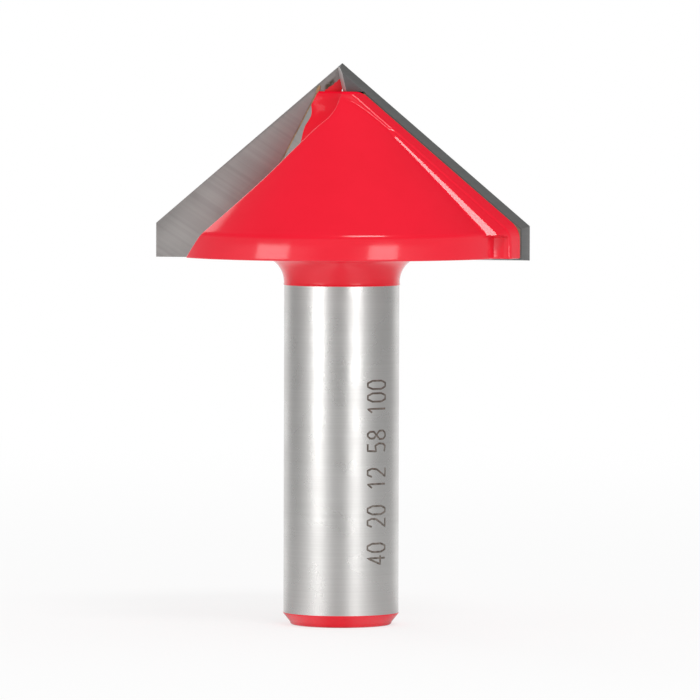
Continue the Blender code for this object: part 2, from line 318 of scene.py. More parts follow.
@dataclass
class HeadForm:
    """The forms of the head: cone and rim, lands with a heel, gullets and blade pockets."""

    sizes: BitSizes
    paint: PaintSizes
    wall: HeelWall
    gullet_wall_lean: float = math.radians(11.7)
    gullet_wall_reach: float = 0.7
    gullet_wall_step: float = 10.0 * MM
    gullet_blend_weight: float = 0.65
    gullet_search: Span = (0.5, 4.0)

    def cone(self, radius: float, z: float) -> float:
        """Return the distance outside the blank's cone."""
        s = self.sizes
        return (z - s.cone_apex + s.cone_slope * radius) / math.hypot(1.0, s.cone_slope)

    def turned(self, x: float, y: float, z: float) -> float:
        """Return the distance outside the turned cone and rim."""
        s = self.sizes
        radius = math.hypot(x, y)
        return rounded_meet(self.cone(radius, z), radius - s.rim_radius, s.rim_edge_round)

    def land(self, x: float, y: float, z: float) -> float:
        """Return the distance outside the top and side of side a's land."""
        s = self.sizes
        relief = math.tan(s.relief_angle)
        top = (z - s.overall_length + s.edge_slope * x) * s.edge_cos - relief * y + s.land_step
        side = x - s.cutting_diameter / 2.0 - relief * y + s.land_step
        return rounded_meet(top, side, s.land_corner_round)

    def heel(self, x: float, y: float) -> float:
        """Return the distance behind the land's heel."""
        return -y - self.sizes.heel_depth - self.sizes.heel_lean * x

    def heel_wall(self, x: float, y: float, z: float) -> float:
        """Return the distance outside the wall that slopes from the second relief to the cone."""
        wall = self.wall
        level = max(z, self.sizes.rim_top)
        past_end = (level - z) * wall.end_taper + max(z - wall.start[2], 0.0) * wall.start_taper
        offset = (x - wall.start[0], y - wall.start[1], level - wall.start[2])
        return sum(way * part for way, part in zip(wall.facing, offset)) + past_end

    def second_relief(self, x: float, y: float, z: float) -> float:
        """Return the distance outside the face behind the heel, which falls faster than the land."""
        behind = max(self.heel(x, y), 0.0)
        return self.land(x, y, z) + self.wall.relief * behind + self.wall.step

    def blank(self, x: float, y: float, z: float) -> float:
        """Return the distance outside the head before its gullets, on side a's half."""
        s, wall = self.sizes, self.wall
        land = rounded_meet(self.land(x, y, z), self.heel(x, y), self.paint.heel_edge_round)
        land = max(land, -x - s.land_past_axis)
        turned = self.turned(x, y, z)
        body = filleted_join(turned, land, self.paint.heel_foot_fillet)
        fillet = wall.foot_fillet + wall.foot_growth * max(wall.start[2] - z, 0.0)
        slope = filleted_join(turned, self.heel_wall(x, y, z), fillet)
        return min(body, max(rounded_meet(self.second_relief(x, y, z), slope, wall.edge_round), -x))

    def wall_turns(self, z: float) -> tuple[float, float]:
        """Return the angles at which the heel's wall starts and ends at this height."""
        facing, start = self.wall.facing, self.wall.start
        level = max(z, self.sizes.rim_top)
        limit = self.sizes.cutting_diameter
        above = max(z - start[2], 0.0) * self.wall.start_taper

        def trace(x: float) -> FlatPoint:
            across = facing[0] * (x - start[0]) + facing[2] * (level - start[2]) + above
            return x, start[1] - across / facing[1]

        top = trace(crossing(lambda x: self.second_relief(*trace(x), level), 0.0, limit))
        foot = trace(crossing(lambda x: self.turned(*trace(x), level), 0.0, limit))
        return math.atan2(-top[1], top[0]), math.atan2(-foot[1], foot[0])

    def reach(self, angle: float, z: float, inset: float) -> FlatPoint:
        """Walk out from the axis to the blank's surface.

        Args:
            angle: Direction, clockwise from +X as seen from the point.
            z: Height of the level.
            inset: How far inside the surface to stop.

        Returns:
            The point that is met.
        """
        dx, dy = math.cos(angle), -math.sin(angle)
        limit = self.sizes.cutting_diameter
        far = crossing(lambda t: self.blank(dx * t, dy * t, z) + inset, 0.0, limit)
        return dx * far, dy * far

    def land_edge(self, y: float, z: float, inset: float) -> FlatPoint:
        """Return the point on side a's land at this y and height."""
        limit = self.sizes.cutting_diameter
        return crossing(lambda t: self.land(t, y, z) + inset, 0.0, limit), y

    def heel_corner(self, z: float, inset: float) -> FlatPoint:
        """Return the corner at which the land's surface meets its heel, before it is rounded."""
        s = self.sizes
        start = inset - s.heel_depth
        lean = s.heel_lean
        x = crossing(lambda t: self.land(t, start - lean * t, z) + inset, 0.0, s.cutting_diameter)
        return x, start - lean * x

    def station(self, depth: float) -> tuple[float, float]:
        """Read the gullet's stations at a depth below the tip, on a smooth curve.

        Args:
            depth: Depth below the tip.

        Returns:
            Width of the floor from the cutting edge's line, and reach of the blend.
        """
        rows = [(row.drop, row.floor_width, row.blend_reach) for row in GULLET_STATIONS]
        last = len(rows) - 1
        i = max([k for k in range(last) if rows[k][0] <= depth], default=0)
        found = []
        for column in (1, 2):
            slopes = []
            for k in (i, i + 1):
                low, high = rows[max(k - 1, 0)], rows[min(k + 1, last)]
                slopes.append((high[column] - low[column]) / (high[0] - low[0]))
            first, second = rows[i], rows[i + 1]
            span = second[0] - first[0]
            t = (depth - first[0]) / span
            if t <= 0.0:
                value = first[column] + slopes[0] * (depth - first[0])
            elif t >= 1.0:
                value = second[column] + slopes[1] * (depth - second[0])
            else:
                value = (2.0 * t**3 - 3.0 * t**2 + 1.0) * first[column]
                value += (t**3 - 2.0 * t**2 + t) * span * slopes[0]
                value += (3.0 * t**2 - 2.0 * t**3) * second[column]
                value += (t**3 - t**2) * span * slopes[1]
            found.append(value)
        return found[0], found[1]

    def gullet_point(self, z: float, t: float) -> FlatPoint:
        """Return a point on the gullet in front of side b's blade.

        Args:
            z: Height of the level.
            t: Place on the outline: 0 where the floor ends, 1 where the wall starts, more along it.

        Returns:
            The point.
        """
        s = self.sizes
        depth = s.overall_length - z
        width, floor_reach = self.station(depth)
        foot = width - depth / s.edge_slope
        wall_reach = floor_reach * self.gullet_wall_reach
        wall = (-math.sin(self.gullet_wall_lean), -math.cos(self.gullet_wall_lean))
        if t > 1.0:
            along = wall_reach + (t - 1.0) * self.gullet_wall_step
            return foot + wall[0] * along, wall[1] * along
        a, b, c = (1.0 - t) ** 2, 2.0 * self.gullet_blend_weight * t * (1.0 - t), t**2
        x = (a * (foot - floor_reach) + b * foot + c * (foot + wall[0] * wall_reach)) / (a + b + c)
        y = c * wall[1] * wall_reach / (a + b + c)
        return x, y

    def gullet_edge(self, z: float, inset: float) -> float:
        """Return the place on the gullet's outline at which it leaves the head."""
        low, high = self.gullet_search
        return crossing(lambda t: self.blank(*self.gullet_point(z, t), z) + inset, low, high)

    def pocket_edge(self, z: float) -> float:
        """Return how far from the axis the blade's pocket starts at this height."""
        s = self.sizes
        top = (s.tip_top_width, s.head_top + s.tip_seat_gap)
        bend_z = s.cut_bottom + s.tip_bend_height
        bend = (top[0] + (top[1] - bend_z) / math.tan(s.tip_inner_angle), bend_z)
        foot = (s.cutting_diameter / 2.0 - s.tip_bottom_width, s.cut_bottom)
        edges = []
        for start, end in ((top, bend), (bend, foot)):
            run, fall = end[0] - start[0], start[1] - end[1]
            gap = s.braze_gap * math.hypot(run, fall) / fall
            edges.append(start[0] + (start[1] - z) * run / fall - gap)
        return max(edges)


def stretch(start: float, end: float, shares: Iterable[float]) -> list[float]:
    """Return the values at these shares of the way from start to end."""
    return [start + (end - start) * share for share in shares]


def part_starts(count: int) -> list[float]:
    """Return the shares at which equal parts of a stretch start."""
    return [i / count for i in range(count)]


def quarter_turns(steps: int, first: int = 0) -> list[float]:
    """Return the angles of a quarter turn in equal steps, from the first step on."""
    return [math.radians(90.0) * i / steps for i in range(first, steps + 1)]


def finished_mesh(work: bmesh.types.BMesh, name: str) -> bpy.types.Mesh:
    """Turn a working mesh into a mesh with this name, and free it."""
    mesh = bpy.data.meshes.new(name)
    work.to_mesh(mesh)
    work.free()
    return mesh


def add_piece(
    name: str, mesh: bpy.types.Mesh, materials: Iterable[bpy.types.Material]
) -> bpy.types.Object:
    """Add an object at the origin with this mesh and these materials."""
    for material in materials:
        mesh.materials.append(material)
    piece = bpy.data.objects.new(name, mesh)
    bpy.context.scene.collection.objects.link(piece)
    return piece


@dataclass(frozen=True)
class OutlineSteps:
    """Where the points of an outline stand, from side a's land on.

    A tuple holds shares of a stretch, or steps in units of the edge round beside them. A value with
    least in its name counts such steps. One with most is the largest share that a form may take of
    the stretch that it stands in.
    """

    land: tuple[float, ...] = (0.33, 0.66)
    heel_edge: tuple[float, ...] = (-1.8, -1.15, -0.75, -0.4, -0.15)
    heel: tuple[float, ...] = (0.0, 0.25, 0.6, 1.0, 1.5, 2.2)
    heel_most: float = 0.08
    relief: tuple[float, ...] = (0.0, 0.4, 0.8)
    relief_least: float = 2.8
    ridge: tuple[float, ...] = (-2.0, -1.0, -0.4, 0.0, 0.4, 1.0, 2.0)
    ridge_least: float = 3.6
    ridge_most: float = 0.3
    ridge_round_most: float = 0.2
    wall: tuple[float, ...] = (0.25, 0.5, 0.75, 0.9)
    foot: tuple[float, ...] = (0.0, 0.2, 0.4, 0.6, 0.8)
    foot_least: float = 1.2
    foot_most: float = 0.42
    foot_reach: float = 1.1
    cone_columns: int = 70
    cone_crowding: float = 1.35
    cone_start_most: float = 0.56
    gullet_edge: tuple[float, ...] = (0.0, 0.2, 0.4, 0.6, 0.8, 1.0)
    gullet_edge_clear: float = 1.6
    gullet_edge_most: float = 0.2
    gullet_wall_parts: int = 6
    gullet_blend_parts: int = 18
    pocket_clear: float = 0.02 * MM


@dataclass
class HeadOutline:
    """One level of the head, as a ring of points and the finish of the face after each point.

    The ring has the same number of points at every height. Half of it is found point by point, and
    the other half is the same, turned half a turn.
    """

    form: HeadForm
    steps: OutlineSteps
    z: float
    inset: float
    points: list[Point] = field(default_factory=list)
    zones: list[Zone] = field(default_factory=list)

    def __post_init__(self) -> None:
        """Find the heel's corner and where the gullet leaves the head, and add every point."""
        form, z, inset = self.form, self.z, self.inset
        self.start = form.land_edge(-form.sizes.pocket_depth, z, inset)
        self.corner = form.heel_corner(z, inset)
        self.ahead = form.gullet_edge(z, inset)
        self.leaving = form.gullet_point(z, self.ahead)
        self.first = math.atan2(-self.corner[1], self.corner[0])
        self.last = math.atan2(-self.leaving[1], self.leaving[0])
        if self.last < self.first:
            self.last += 2.0 * math.pi
        self.span = self.last - self.first
        self.add_land()
        self.add_cone(self.add_heel())
        self.add_gullet()
        self.points += [(-x, -y, height) for x, y, height in self.points]
        self.zones += self.zones

    def add(self, point: FlatPoint, zone: Zone = Zone.PAINT) -> None:
        """Add a point and the finish of the face that starts at it."""
        self.points.append((point[0], point[1], self.z))
        self.zones.append(zone)

    def walk(self, angles: Iterable[float]) -> None:
        """Add the points at which these directions from the axis leave the blank."""
        for angle in angles:
            self.add(self.form.reach(angle, self.z, self.inset))

    def add_land(self) -> None:
        """Add the points on the land, from the pocket to the heel's edge."""
        self.add(self.start)
        end = self.corner[1] - self.steps.heel_edge[0] * self.form.paint.heel_edge_round
        for y in stretch(self.start[1], end, self.steps.land):
            self.add(self.form.land_edge(y, self.z, self.inset))

    def add_heel(self) -> float:
        """Add the heel's round edge, the second relief behind it and the wall down to the cone.

        Returns:
            The angle at which the cone's own points start.
        """
        steps, first, span = self.steps, self.first, self.span
        size = math.hypot(*self.corner)
        edge = self.form.paint.heel_edge_round
        self.walk(first + step * edge / size for step in steps.heel_edge)
        turn = min(edge * math.sin(first) / size, steps.heel_most * span)
        self.walk(first + step * turn for step in steps.heel)
        ridge, foot = self.form.wall_turns(self.z)
        ridge = min(max(ridge, first + steps.ridge_least * turn), first + steps.ridge_most * span)
        foot = min(max(foot, ridge + steps.foot_least * turn), first + steps.foot_most * span)
        begin = first + steps.relief_least * turn
        room = min(foot - ridge, ridge - begin)
        near = min(self.form.wall.edge_round / size, steps.ridge_round_most * room)
        self.walk(stretch(begin, ridge + steps.ridge[0] * near, steps.relief))
        self.walk(ridge + step * near for step in steps.ridge)
        self.walk(stretch(ridge + steps.ridge[-1] * near, foot, steps.wall))
        end = min(foot + steps.foot_reach * (foot - ridge), first + steps.cone_start_most * span)
        self.walk(stretch(foot, end, steps.foot))
        return end

    def add_cone(self, begin: float) -> None:
        """Add the points on the cone, and the round edge at which the gullet leaves it.

        Args:
            begin: Angle at which the cone's points start.
        """
        form, steps = self.form, self.steps
        trim = form.paint.gullet_edge_round
        turn = min(trim / math.hypot(*self.leaving), steps.gullet_edge_most * self.span)
        stop = self.last - steps.gullet_edge_clear * turn
        most = steps.cone_columns - 1
        shares = [(i / most) ** steps.cone_crowding for i in range(steps.cone_columns)]
        self.walk(stretch(begin, stop, shares))
        before = Vector(form.reach(self.last - turn, self.z, self.inset))
        behind = Vector(form.gullet_point(self.z, self.ahead - trim / form.gullet_wall_step))
        peak = Vector(self.leaving)
        for t in steps.gullet_edge:
            place = (1.0 - t) ** 2 * before + 2.0 * t * (1.0 - t) * peak + t**2 * behind
            self.add((place.x, place.y))

    def add_gullet(self) -> None:
        """Add the gullet's wall and blend, and the bare strip between its floor and the pocket."""
        form, steps, z = self.form, self.steps, self.z
        trim = form.paint.gullet_edge_round
        top = self.ahead - steps.gullet_edge_clear * trim / form.gullet_wall_step
        blend_start = min(top, 1.0)
        pocket = form.pocket_edge(z)
        floor_start = 0.0
        if form.gullet_point(z, 0.0)[0] < -pocket:
            floor_start = crossing(lambda t: pocket + form.gullet_point(z, t)[0], 0.0, 1.0)
        places = stretch(top, blend_start, part_starts(steps.gullet_wall_parts))
        places += stretch(blend_start, floor_start, part_starts(steps.gullet_blend_parts))
        for t in places:
            self.add(form.gullet_point(z, t), Zone.GULLET)
        floor = form.gullet_point(z, floor_start)
        far = min(pocket, self.start[0] - steps.pocket_clear)
        middle = ((floor[0] - far) / 2.0, floor[1])
        for point in (floor, middle, (-far, floor[1]), (-far, form.sizes.pocket_depth)):
            self.add(point, Zone.STRIP)


@dataclass
class BodyMesh:
    """The fine mesh of the steel body: head, neck, shank and end."""

    form: HeadForm
    underside_steps: int = 5
    rim_shares: tuple[float, ...] = (0.09, 0.5)
    edge_levels: int = 5
    rim_edge_levels: range = range(-6, 5)
    corner_levels: range = range(-5, 4)
    cone_levels: int = 72
    cone_clear: float = 1.1
    cone_crowding: float = 0.85
    top_steps: int = 6
    matt_rings: int = 4
    neck_steps: int = 18
    shank_shares: tuple[float, ...] = (1.0, 0.98, 0.75, 0.5, 0.25, 0.02)
    chamfer_shares: tuple[float, ...] = (0.0, 0.12, 0.5, 0.88, 1.0)
    end_steps: int = 5
    sides: int = 192
    sharp_angle: float = math.radians(38.0)

    def levels(self) -> list[tuple[float, float]]:
        """Return the heights of the outlines, each with how far its edge round draws it in."""
        s = self.form.sizes
        start = s.corner_height + s.land_corner_round * self.cone_clear
        end = s.head_top + s.tip_seat_gap - s.head_top_round
        found = []
        for turn in quarter_turns(self.underside_steps):
            rise = s.underside_round * (1.0 - math.cos(turn))
            found.append((s.head_bottom + rise, s.underside_round * (1.0 - math.sin(turn))))
        for turn in quarter_turns(self.top_steps, first=1):
            drawn = s.head_top_round * (1.0 - math.cos(turn))
            found.append((end + s.head_top_round * math.sin(turn), drawn))
        heights = [s.head_bottom + s.rim_height * share for share in self.rim_shares]
        for middle, size, steps in (
            (s.rim_top, s.rim_edge_round, self.rim_edge_levels),
            (s.corner_height, s.land_corner_round, self.corner_levels),
        ):
            heights += [middle + size * step / self.edge_levels for step in steps]
        most = self.cone_levels - 1
        shares = [(i / most) ** self.cone_crowding for i in range(self.cone_levels)]
        heights += stretch(start, end, shares)
        return sorted(found + [(height, 0.0) for height in heights])

    def neck_profile(self) -> list[FlatPoint]:
        """Return the painted neck: its lead from the underside, its fillet and its paint's edge."""
        s, paint = self.form.sizes, self.form.paint
        shank = s.shank_diameter / 2.0
        foot = s.head_bottom - s.neck_fillet
        centre = shank + s.neck_fillet
        top_radius = centre - s.neck_fillet * math.cos(s.neck_fillet_end)
        top_height = foot + s.neck_fillet * math.sin(s.neck_fillet_end)
        lead = (s.head_bottom - top_height) * math.tan(s.neck_fillet_end)
        found = [(top_radius + lead, s.head_bottom)]
        for i in range(self.neck_steps + 1):
            turn = s.neck_fillet_end * (1.0 - i / self.neck_steps)
            radius = centre - s.neck_fillet * math.cos(turn) + paint.film * i / self.neck_steps
            found.append((radius, foot + s.neck_fillet * math.sin(turn)))
        found.append((shank + paint.film, paint.neck_edge + paint.neck_lip_reach))
        swell = paint.film + paint.lip
        return found + [(shank + swell * part, paint.neck_edge + rise) for rise, part in paint.neck_lip]

    def shank_profile(self) -> list[FlatPoint]:
        """Return the bare shank between the two edges of the paint."""
        paint = self.form.paint
        radius = self.form.sizes.shank_diameter / 2.0
        heights = stretch(paint.end_edge, paint.neck_edge, self.shank_shares)
        return [(radius, height) for height in heights]

    def end_profile(self) -> list[FlatPoint]:
        """Return the painted end: its paint's edge, the chamfer and the round of the end face."""
        s, paint = self.form.sizes, self.form.paint
        shank = s.shank_diameter / 2.0
        swell = (paint.film + paint.lip) * paint.end_lip_share
        found = [(shank, paint.end_edge)]
        found += [(shank + swell * part, paint.end_edge - drop) for drop, part in paint.end_lip]
        chamfer_top = s.end_round + s.end_chamfer_height - paint.end_lip_reach
        for share in self.chamfer_shares:
            height = chamfer_top + (s.end_round - chamfer_top) * share
            found.append((shank - s.end_chamfer_width * share, height))
        for turn in quarter_turns(self.end_steps, first=1):
            radius = shank - s.end_chamfer_width - s.end_round * (1.0 - math.cos(turn))
            found.append((radius, s.end_round * (1.0 - math.sin(turn))))
        return found

    def add_head(self, work: bmesh.types.BMesh) -> list[bmesh.types.BMVert]:
        """Add the head's rings and its flat top, and return its lowest ring."""
        steps = OutlineSteps()
        outlines = [HeadOutline(self.form, steps, z, inset) for z, inset in self.levels()]
        rings = [[work.verts.new(point) for point in ring.points] for ring in outlines]
        round_start = len(rings) - 1 - self.matt_rings
        for level, (lower, upper, ring) in enumerate(zip(rings, rings[1:], outlines)):
            for i, zone in enumerate(ring.zones):
                j = (i + 1) % len(lower)
                face = work.faces.new((lower[i], upper[i], upper[j], lower[j]))
                painted = zone in (Zone.PAINT, Zone.GULLET)
                face.material_index = Zone.TOP.value if painted and level >= round_start else zone.value
        self.fill(work, Zone.TOP, rings[-1])
        return rings[0]

    def add_turned(self, work: bmesh.types.BMesh) -> list[bmesh.types.BMVert]:
        """Add the neck, the shank and the end, and return their highest circle."""
        profile = [(*point, Zone.PAINT) for point in self.neck_profile()]
        profile += [(*point, Zone.STEEL) for point in self.shank_profile()]
        profile += [(*point, Zone.PAINT) for point in self.end_profile()]
        circles = []
        for radius, height, _ in profile:
            circle = []
            for i in range(self.sides):
                turn = 2.0 * math.pi * i / self.sides
                point = (radius * math.cos(turn), radius * math.sin(turn), height)
                circle.append(work.verts.new(point))
            circles.append(circle)
        for (_, _, zone), upper, lower in zip(profile, circles, circles[1:]):
            for i in range(self.sides):
                j = (i + 1) % self.sides
                face = work.faces.new((lower[i], lower[j], upper[j], upper[i]))
                face.material_index = zone.value
        bottom = work.faces.new(list(reversed(circles[-1])))
        bottom.material_index = Zone.PAINT.value
        return circles[0]

    def fill(self, work: bmesh.types.BMesh, zone: Zone, *loops: Sequence[bmesh.types.BMVert]) -> None:
        """Fill the flat area inside a loop of points, except inside a convex second loop.

        Args:
            work: Mesh to add the faces to.
            zone: Finish of the faces.
            loops: One loop of points, or two of which the second is the edge of a hole.
        """
        verts: list[bmesh.types.BMVert] = []
        edges: list[tuple[int, int]] = []
        for loop in loops:
            first, count = len(verts), len(loop)
            edges += [(first + i, first + (i + 1) % count) for i in range(count)]
            verts += loop
        flat = [Vector((vert.co.x / MM, vert.co.y / MM)) for vert in verts]
        only_inside, tolerance = 1, 1e-5
        filled = delaunay_2d_cdt(flat, edges, [], only_inside, tolerance)
        triangles, sources = filled[2], filled[3]
        for triangle in triangles:
            corners = [sources[corner][0] for corner in triangle]
            if min(corners) < len(loops[0]):
                face = work.faces.new([verts[corner] for corner in corners])
                face.material_index = zone.value

    def build(self, name: str) -> bpy.types.Mesh:
        """Make the closed mesh, with a material index for each finish."""
        work = bmesh.new()
        head = self.add_head(work)
        neck = self.add_turned(work)
        self.fill(work, Zone.PAINT, head, neck)
        bmesh.ops.remove_doubles(work, verts=work.verts, dist=WELD)
        bmesh.ops.recalc_face_normals(work, faces=work.faces)
        for face in work.faces:
            face.smooth = True
        mesh = finished_mesh(work, name)
        mesh.set_sharp_from_angle(angle=self.sharp_angle)
        return mesh


@dataclass
class NodeBoard:
    """Adds nodes to a node tree and joins them."""

    tree: bpy.types.NodeTree

    def feed(self, node: bpy.types.Node, inputs: dict[str, object]) -> None:
        """Set or join a node's inputs.

        Args:
            node: The node.
            inputs: Value or source socket for each input, by the input's name or number.
        """
        for key, value in inputs.items():
            socket = node.inputs[int(key)] if key.isdigit() else node.inputs[key]
            if isinstance(value, bpy.types.NodeSocket):
                self.tree.links.new(value, socket)
            else:
                socket.default_value = value

    def add(
        self, kind: str, inputs: dict[str, object] | None = None, **settings: object
    ) -> bpy.types.Node:
        """Add a node.

        Args:
            kind: Blender's name of the node type.
            inputs: Value or source socket for each input that isn't left as it is.
            settings: Properties of the node.

        Returns:
            The new node.
        """
        node = self.tree.nodes.new(kind)
        for key, value in settings.items():
            setattr(node, key, value)
        self.feed(node, inputs or {})
        return node

    def group(self, tree: bpy.types.NodeTree, inputs: dict[str, object]) -> bpy.types.NodeOutputs:
        """Add a shader group with these inputs and return its outputs."""
        return self.add("ShaderNodeGroup", inputs, node_tree=tree).outputs

    def math(self, operation: str, *values: object) -> bpy.types.NodeSocket:
        """Add a maths node on values or sockets and return its result."""
        inputs = {str(i): value for i, value in enumerate(values)}
        return self.add("ShaderNodeMath", inputs, operation=operation).outputs[0]

    def opposite(self, share: object) -> bpy.types.NodeSocket:
        """Return 1 less a share."""
        return self.math("SUBTRACT", 1.0, share)

    def vector(self, operation: str, *values: object) -> bpy.types.NodeSocket:
        """Add vector maths on values or sockets and return its result, a vector or a number."""
        inputs = {str(i): value for i, value in enumerate(values)}
        number = operation in ("LENGTH", "DOT_PRODUCT")
        outputs = self.add("ShaderNodeVectorMath", inputs, operation=operation).outputs
        return outputs["Value" if number else "Vector"]

    def parts(self, vector: bpy.types.NodeSocket) -> bpy.types.NodeOutputs:
        """Return the X, Y and Z of a vector."""
        return self.add("ShaderNodeSeparateXYZ", {"0": vector}).outputs

    def joined(self, x: object, y: object, z: object) -> bpy.types.NodeSocket:
        """Return the vector with these parts."""
        return self.add("ShaderNodeCombineXYZ", {"0": x, "1": y, "2": z}).outputs[0]

    def noise(
        self, place: bpy.types.NodeSocket, scale: object, detail: float, roughness: float = 0.5
    ) -> bpy.types.NodeSocket:
        """Return a noise from 0 to 1 at this place."""
        inputs = {"Vector": place, "Scale": scale, "Detail": detail, "Roughness": roughness}
        return self.add("ShaderNodeTexNoise", inputs).outputs[0]

    def ramp(self, value: object, low: float, high: float) -> bpy.types.NodeSocket:
        """Return 0 below the low value, 1 above the high one, and a smooth step between."""
        inputs = {"Value": value, "From Min": low, "From Max": high}
        return self.add("ShaderNodeMapRange", inputs, interpolation_type="SMOOTHSTEP").outputs[0]

    def blend(self, share: object, first: object, second: object) -> bpy.types.NodeSocket:
        """Mix two colours, where a share of 1 gives the second one."""
        node = self.add("ShaderNodeMix", {"0": share, "6": first, "7": second}, data_type="RGBA")
        return node.outputs[2]

    def bump(self, strength: float, distance: float, height: object) -> bpy.types.NodeSocket:
        """Return the direction of a surface that this height roughens."""
        inputs = {"Strength": strength, "Distance": distance, "Height": height}
        return self.add("ShaderNodeBump", inputs).outputs[0]


def rgba(colour: Colour) -> tuple[float, float, float, float]:
    """Return a colour with full cover."""
    return (*colour, 1.0)



class EffectGroups:
    """The shader node groups that more than one finish uses, each built once."""

    def __init__(self) -> None:
        """Build the groups."""
        self.ground_lines = self.make_ground_lines()
        self.soiling = self.make_soiling()

    @staticmethod
    def new_group(
        name: str, inputs: dict[str, float | None], outputs: Iterable[str]
    ) -> tuple[NodeBoard, bpy.types.NodeOutputs, bpy.types.Node]:
        """Make an empty group with named sockets.

        Args:
            name: Name of the group.
            inputs: Starting value of each input, where none means a vector.
            outputs: Name of each output, all of them numbers.

        Returns:
            The group's board, the sockets of its input node and its output node.
        """
        tree = bpy.data.node_groups.new(name, "ShaderNodeTree")
        for title, value in inputs.items():
            kind = "NodeSocketVector" if value is None else "NodeSocketFloat"
            socket = tree.interface.new_socket(title, in_out="INPUT", socket_type=kind)
            if value is not None:
                socket.default_value = value
        for title in outputs:
            tree.interface.new_socket(title, in_out="OUTPUT", socket_type="NodeSocketFloat")
        board = NodeBoard(tree)
        return board, board.add("NodeGroupInput").outputs, board.add("NodeGroupOutput")

    def make_ground_lines(self) -> bpy.types.NodeTree:
        """Make the fine parallel lines that a grinding wheel leaves, with broader ones between.

        Returns:
            The group, which puts out a line pattern from 0 to 1 and a height for bump.
        """
        fine_share, broad_share, broad_scale, roughness = 0.6, 0.4, 0.22, 0.6
        inputs = {"Vector": None, "Lines per metre": 9000.0, "Lines length": 60.0}
        contrast = (0.34, 0.66)
        board, start, end = self.new_group("ground lines", inputs, ("Lines", "Height"))
        parts = board.parts(start["Vector"])
        fine = start["Lines per metre"]
        broad = board.math("MULTIPLY", fine, broad_scale)
        slow = board.math("DIVIDE", 1000.0, start["Lines length"])
        patterns = []
        for scale, detail, share in ((fine, 2.0, fine_share), (broad, 3.0, broad_share)):
            along = [board.math("MULTIPLY", parts[i], slow) for i in range(2)]
            place = board.joined(*along, board.math("MULTIPLY", parts[2], scale))
            patterns.append(board.math("MULTIPLY", board.noise(place, 1.0, detail, roughness), share))
        mixed = board.math("ADD", *patterns)
        board.feed(end, {"Lines": board.ramp(mixed, *contrast), "Height": mixed})
        return board.tree

    def make_soiling(self) -> bpy.types.NodeTree:
        """Make the faint cloudy unevenness that handling and drying leave.

        Returns:
            The group, which puts out a cloud from 0 to 1 and a waviness for bump.
        """
        inputs = {"Vector": None, "Clouds per metre": 140.0, "Waves per metre": 900.0}
        cloud_detail, wave_detail, contrast = 4.0, 1.0, (0.32, 0.7)
        board, start, end = self.new_group("soiling", inputs, ("Cloud", "Wave"))
        cloud = board.noise(start["Vector"], start["Clouds per metre"], cloud_detail)
        wave = board.noise(start["Vector"], start["Waves per metre"], wave_detail)
        board.feed(end, {"Cloud": board.ramp(cloud, *contrast), "Wave": wave})
        return board.tree


class Finish:
    """What every finish shares: an empty material with a board, a shader and a soiling."""

    name: str
    groups: EffectGroups

    def start(self) -> tuple[bpy.types.Material, NodeBoard, bpy.types.Node, bpy.types.NodeSocket]:
        """Return a new material, its board, its shader and the object's coordinates."""
        material = bpy.data.materials.new(self.name)
        material.use_nodes = True
        board = NodeBoard(material.node_tree)
        shader = material.node_tree.nodes["Principled BSDF"]
        return material, board, shader, board.add("ShaderNodeTexCoord").outputs["Object"]

    def soil(
        self, board: NodeBoard, place: object, clouds: float, waves: float
    ) -> bpy.types.NodeOutputs:
        """Add the soiling, with this many clouds and waves per metre, and return its outputs."""
        inputs = {"Vector": place, "Clouds per metre": clouds, "Waves per metre": waves}
        return board.group(self.groups.soiling, inputs)


@dataclass(frozen=True)
class RedPaint(Finish):
    """Gloss red enamel with a faint waviness."""

    groups: EffectGroups
    name: str = "gloss red paint"
    colour: Colour = (0.92, 0.008, 0.031)
    thin_colour: Colour = (0.87, 0.006, 0.025)
    thin_share: float = 0.6
    roughness: float = 0.42
    more_rough: float = 0.1
    specular: float = 0.1
    coat: float = 1.0
    coat_roughness: float = 0.12
    coat_index: float = 1.5
    clouds_per_metre: float = 160.0
    waves_per_metre: float = 420.0
    bump: float = 0.12
    bump_height: float = 0.03 * MM

    def make(self) -> bpy.types.Material:
        """Make the material."""
        material, board, shader, place = self.start()
        soil = self.soil(board, place, self.clouds_per_metre, self.waves_per_metre)
        thin = board.math("MULTIPLY", soil["Cloud"], self.thin_share)
        bump = board.bump(self.bump, self.bump_height, soil["Wave"])
        inputs = {
            "Base Color": board.blend(thin, rgba(self.colour), rgba(self.thin_colour)),
            "Roughness": board.math("MULTIPLY_ADD", soil["Cloud"], self.more_rough, self.roughness),
            "Normal": bump,
            "Coat Normal": bump,
            "Specular IOR Level": self.specular,
            "Coat Weight": self.coat,
            "Coat Roughness": self.coat_roughness,
            "Coat IOR": self.coat_index,
        }
        board.feed(shader, inputs)
        return material


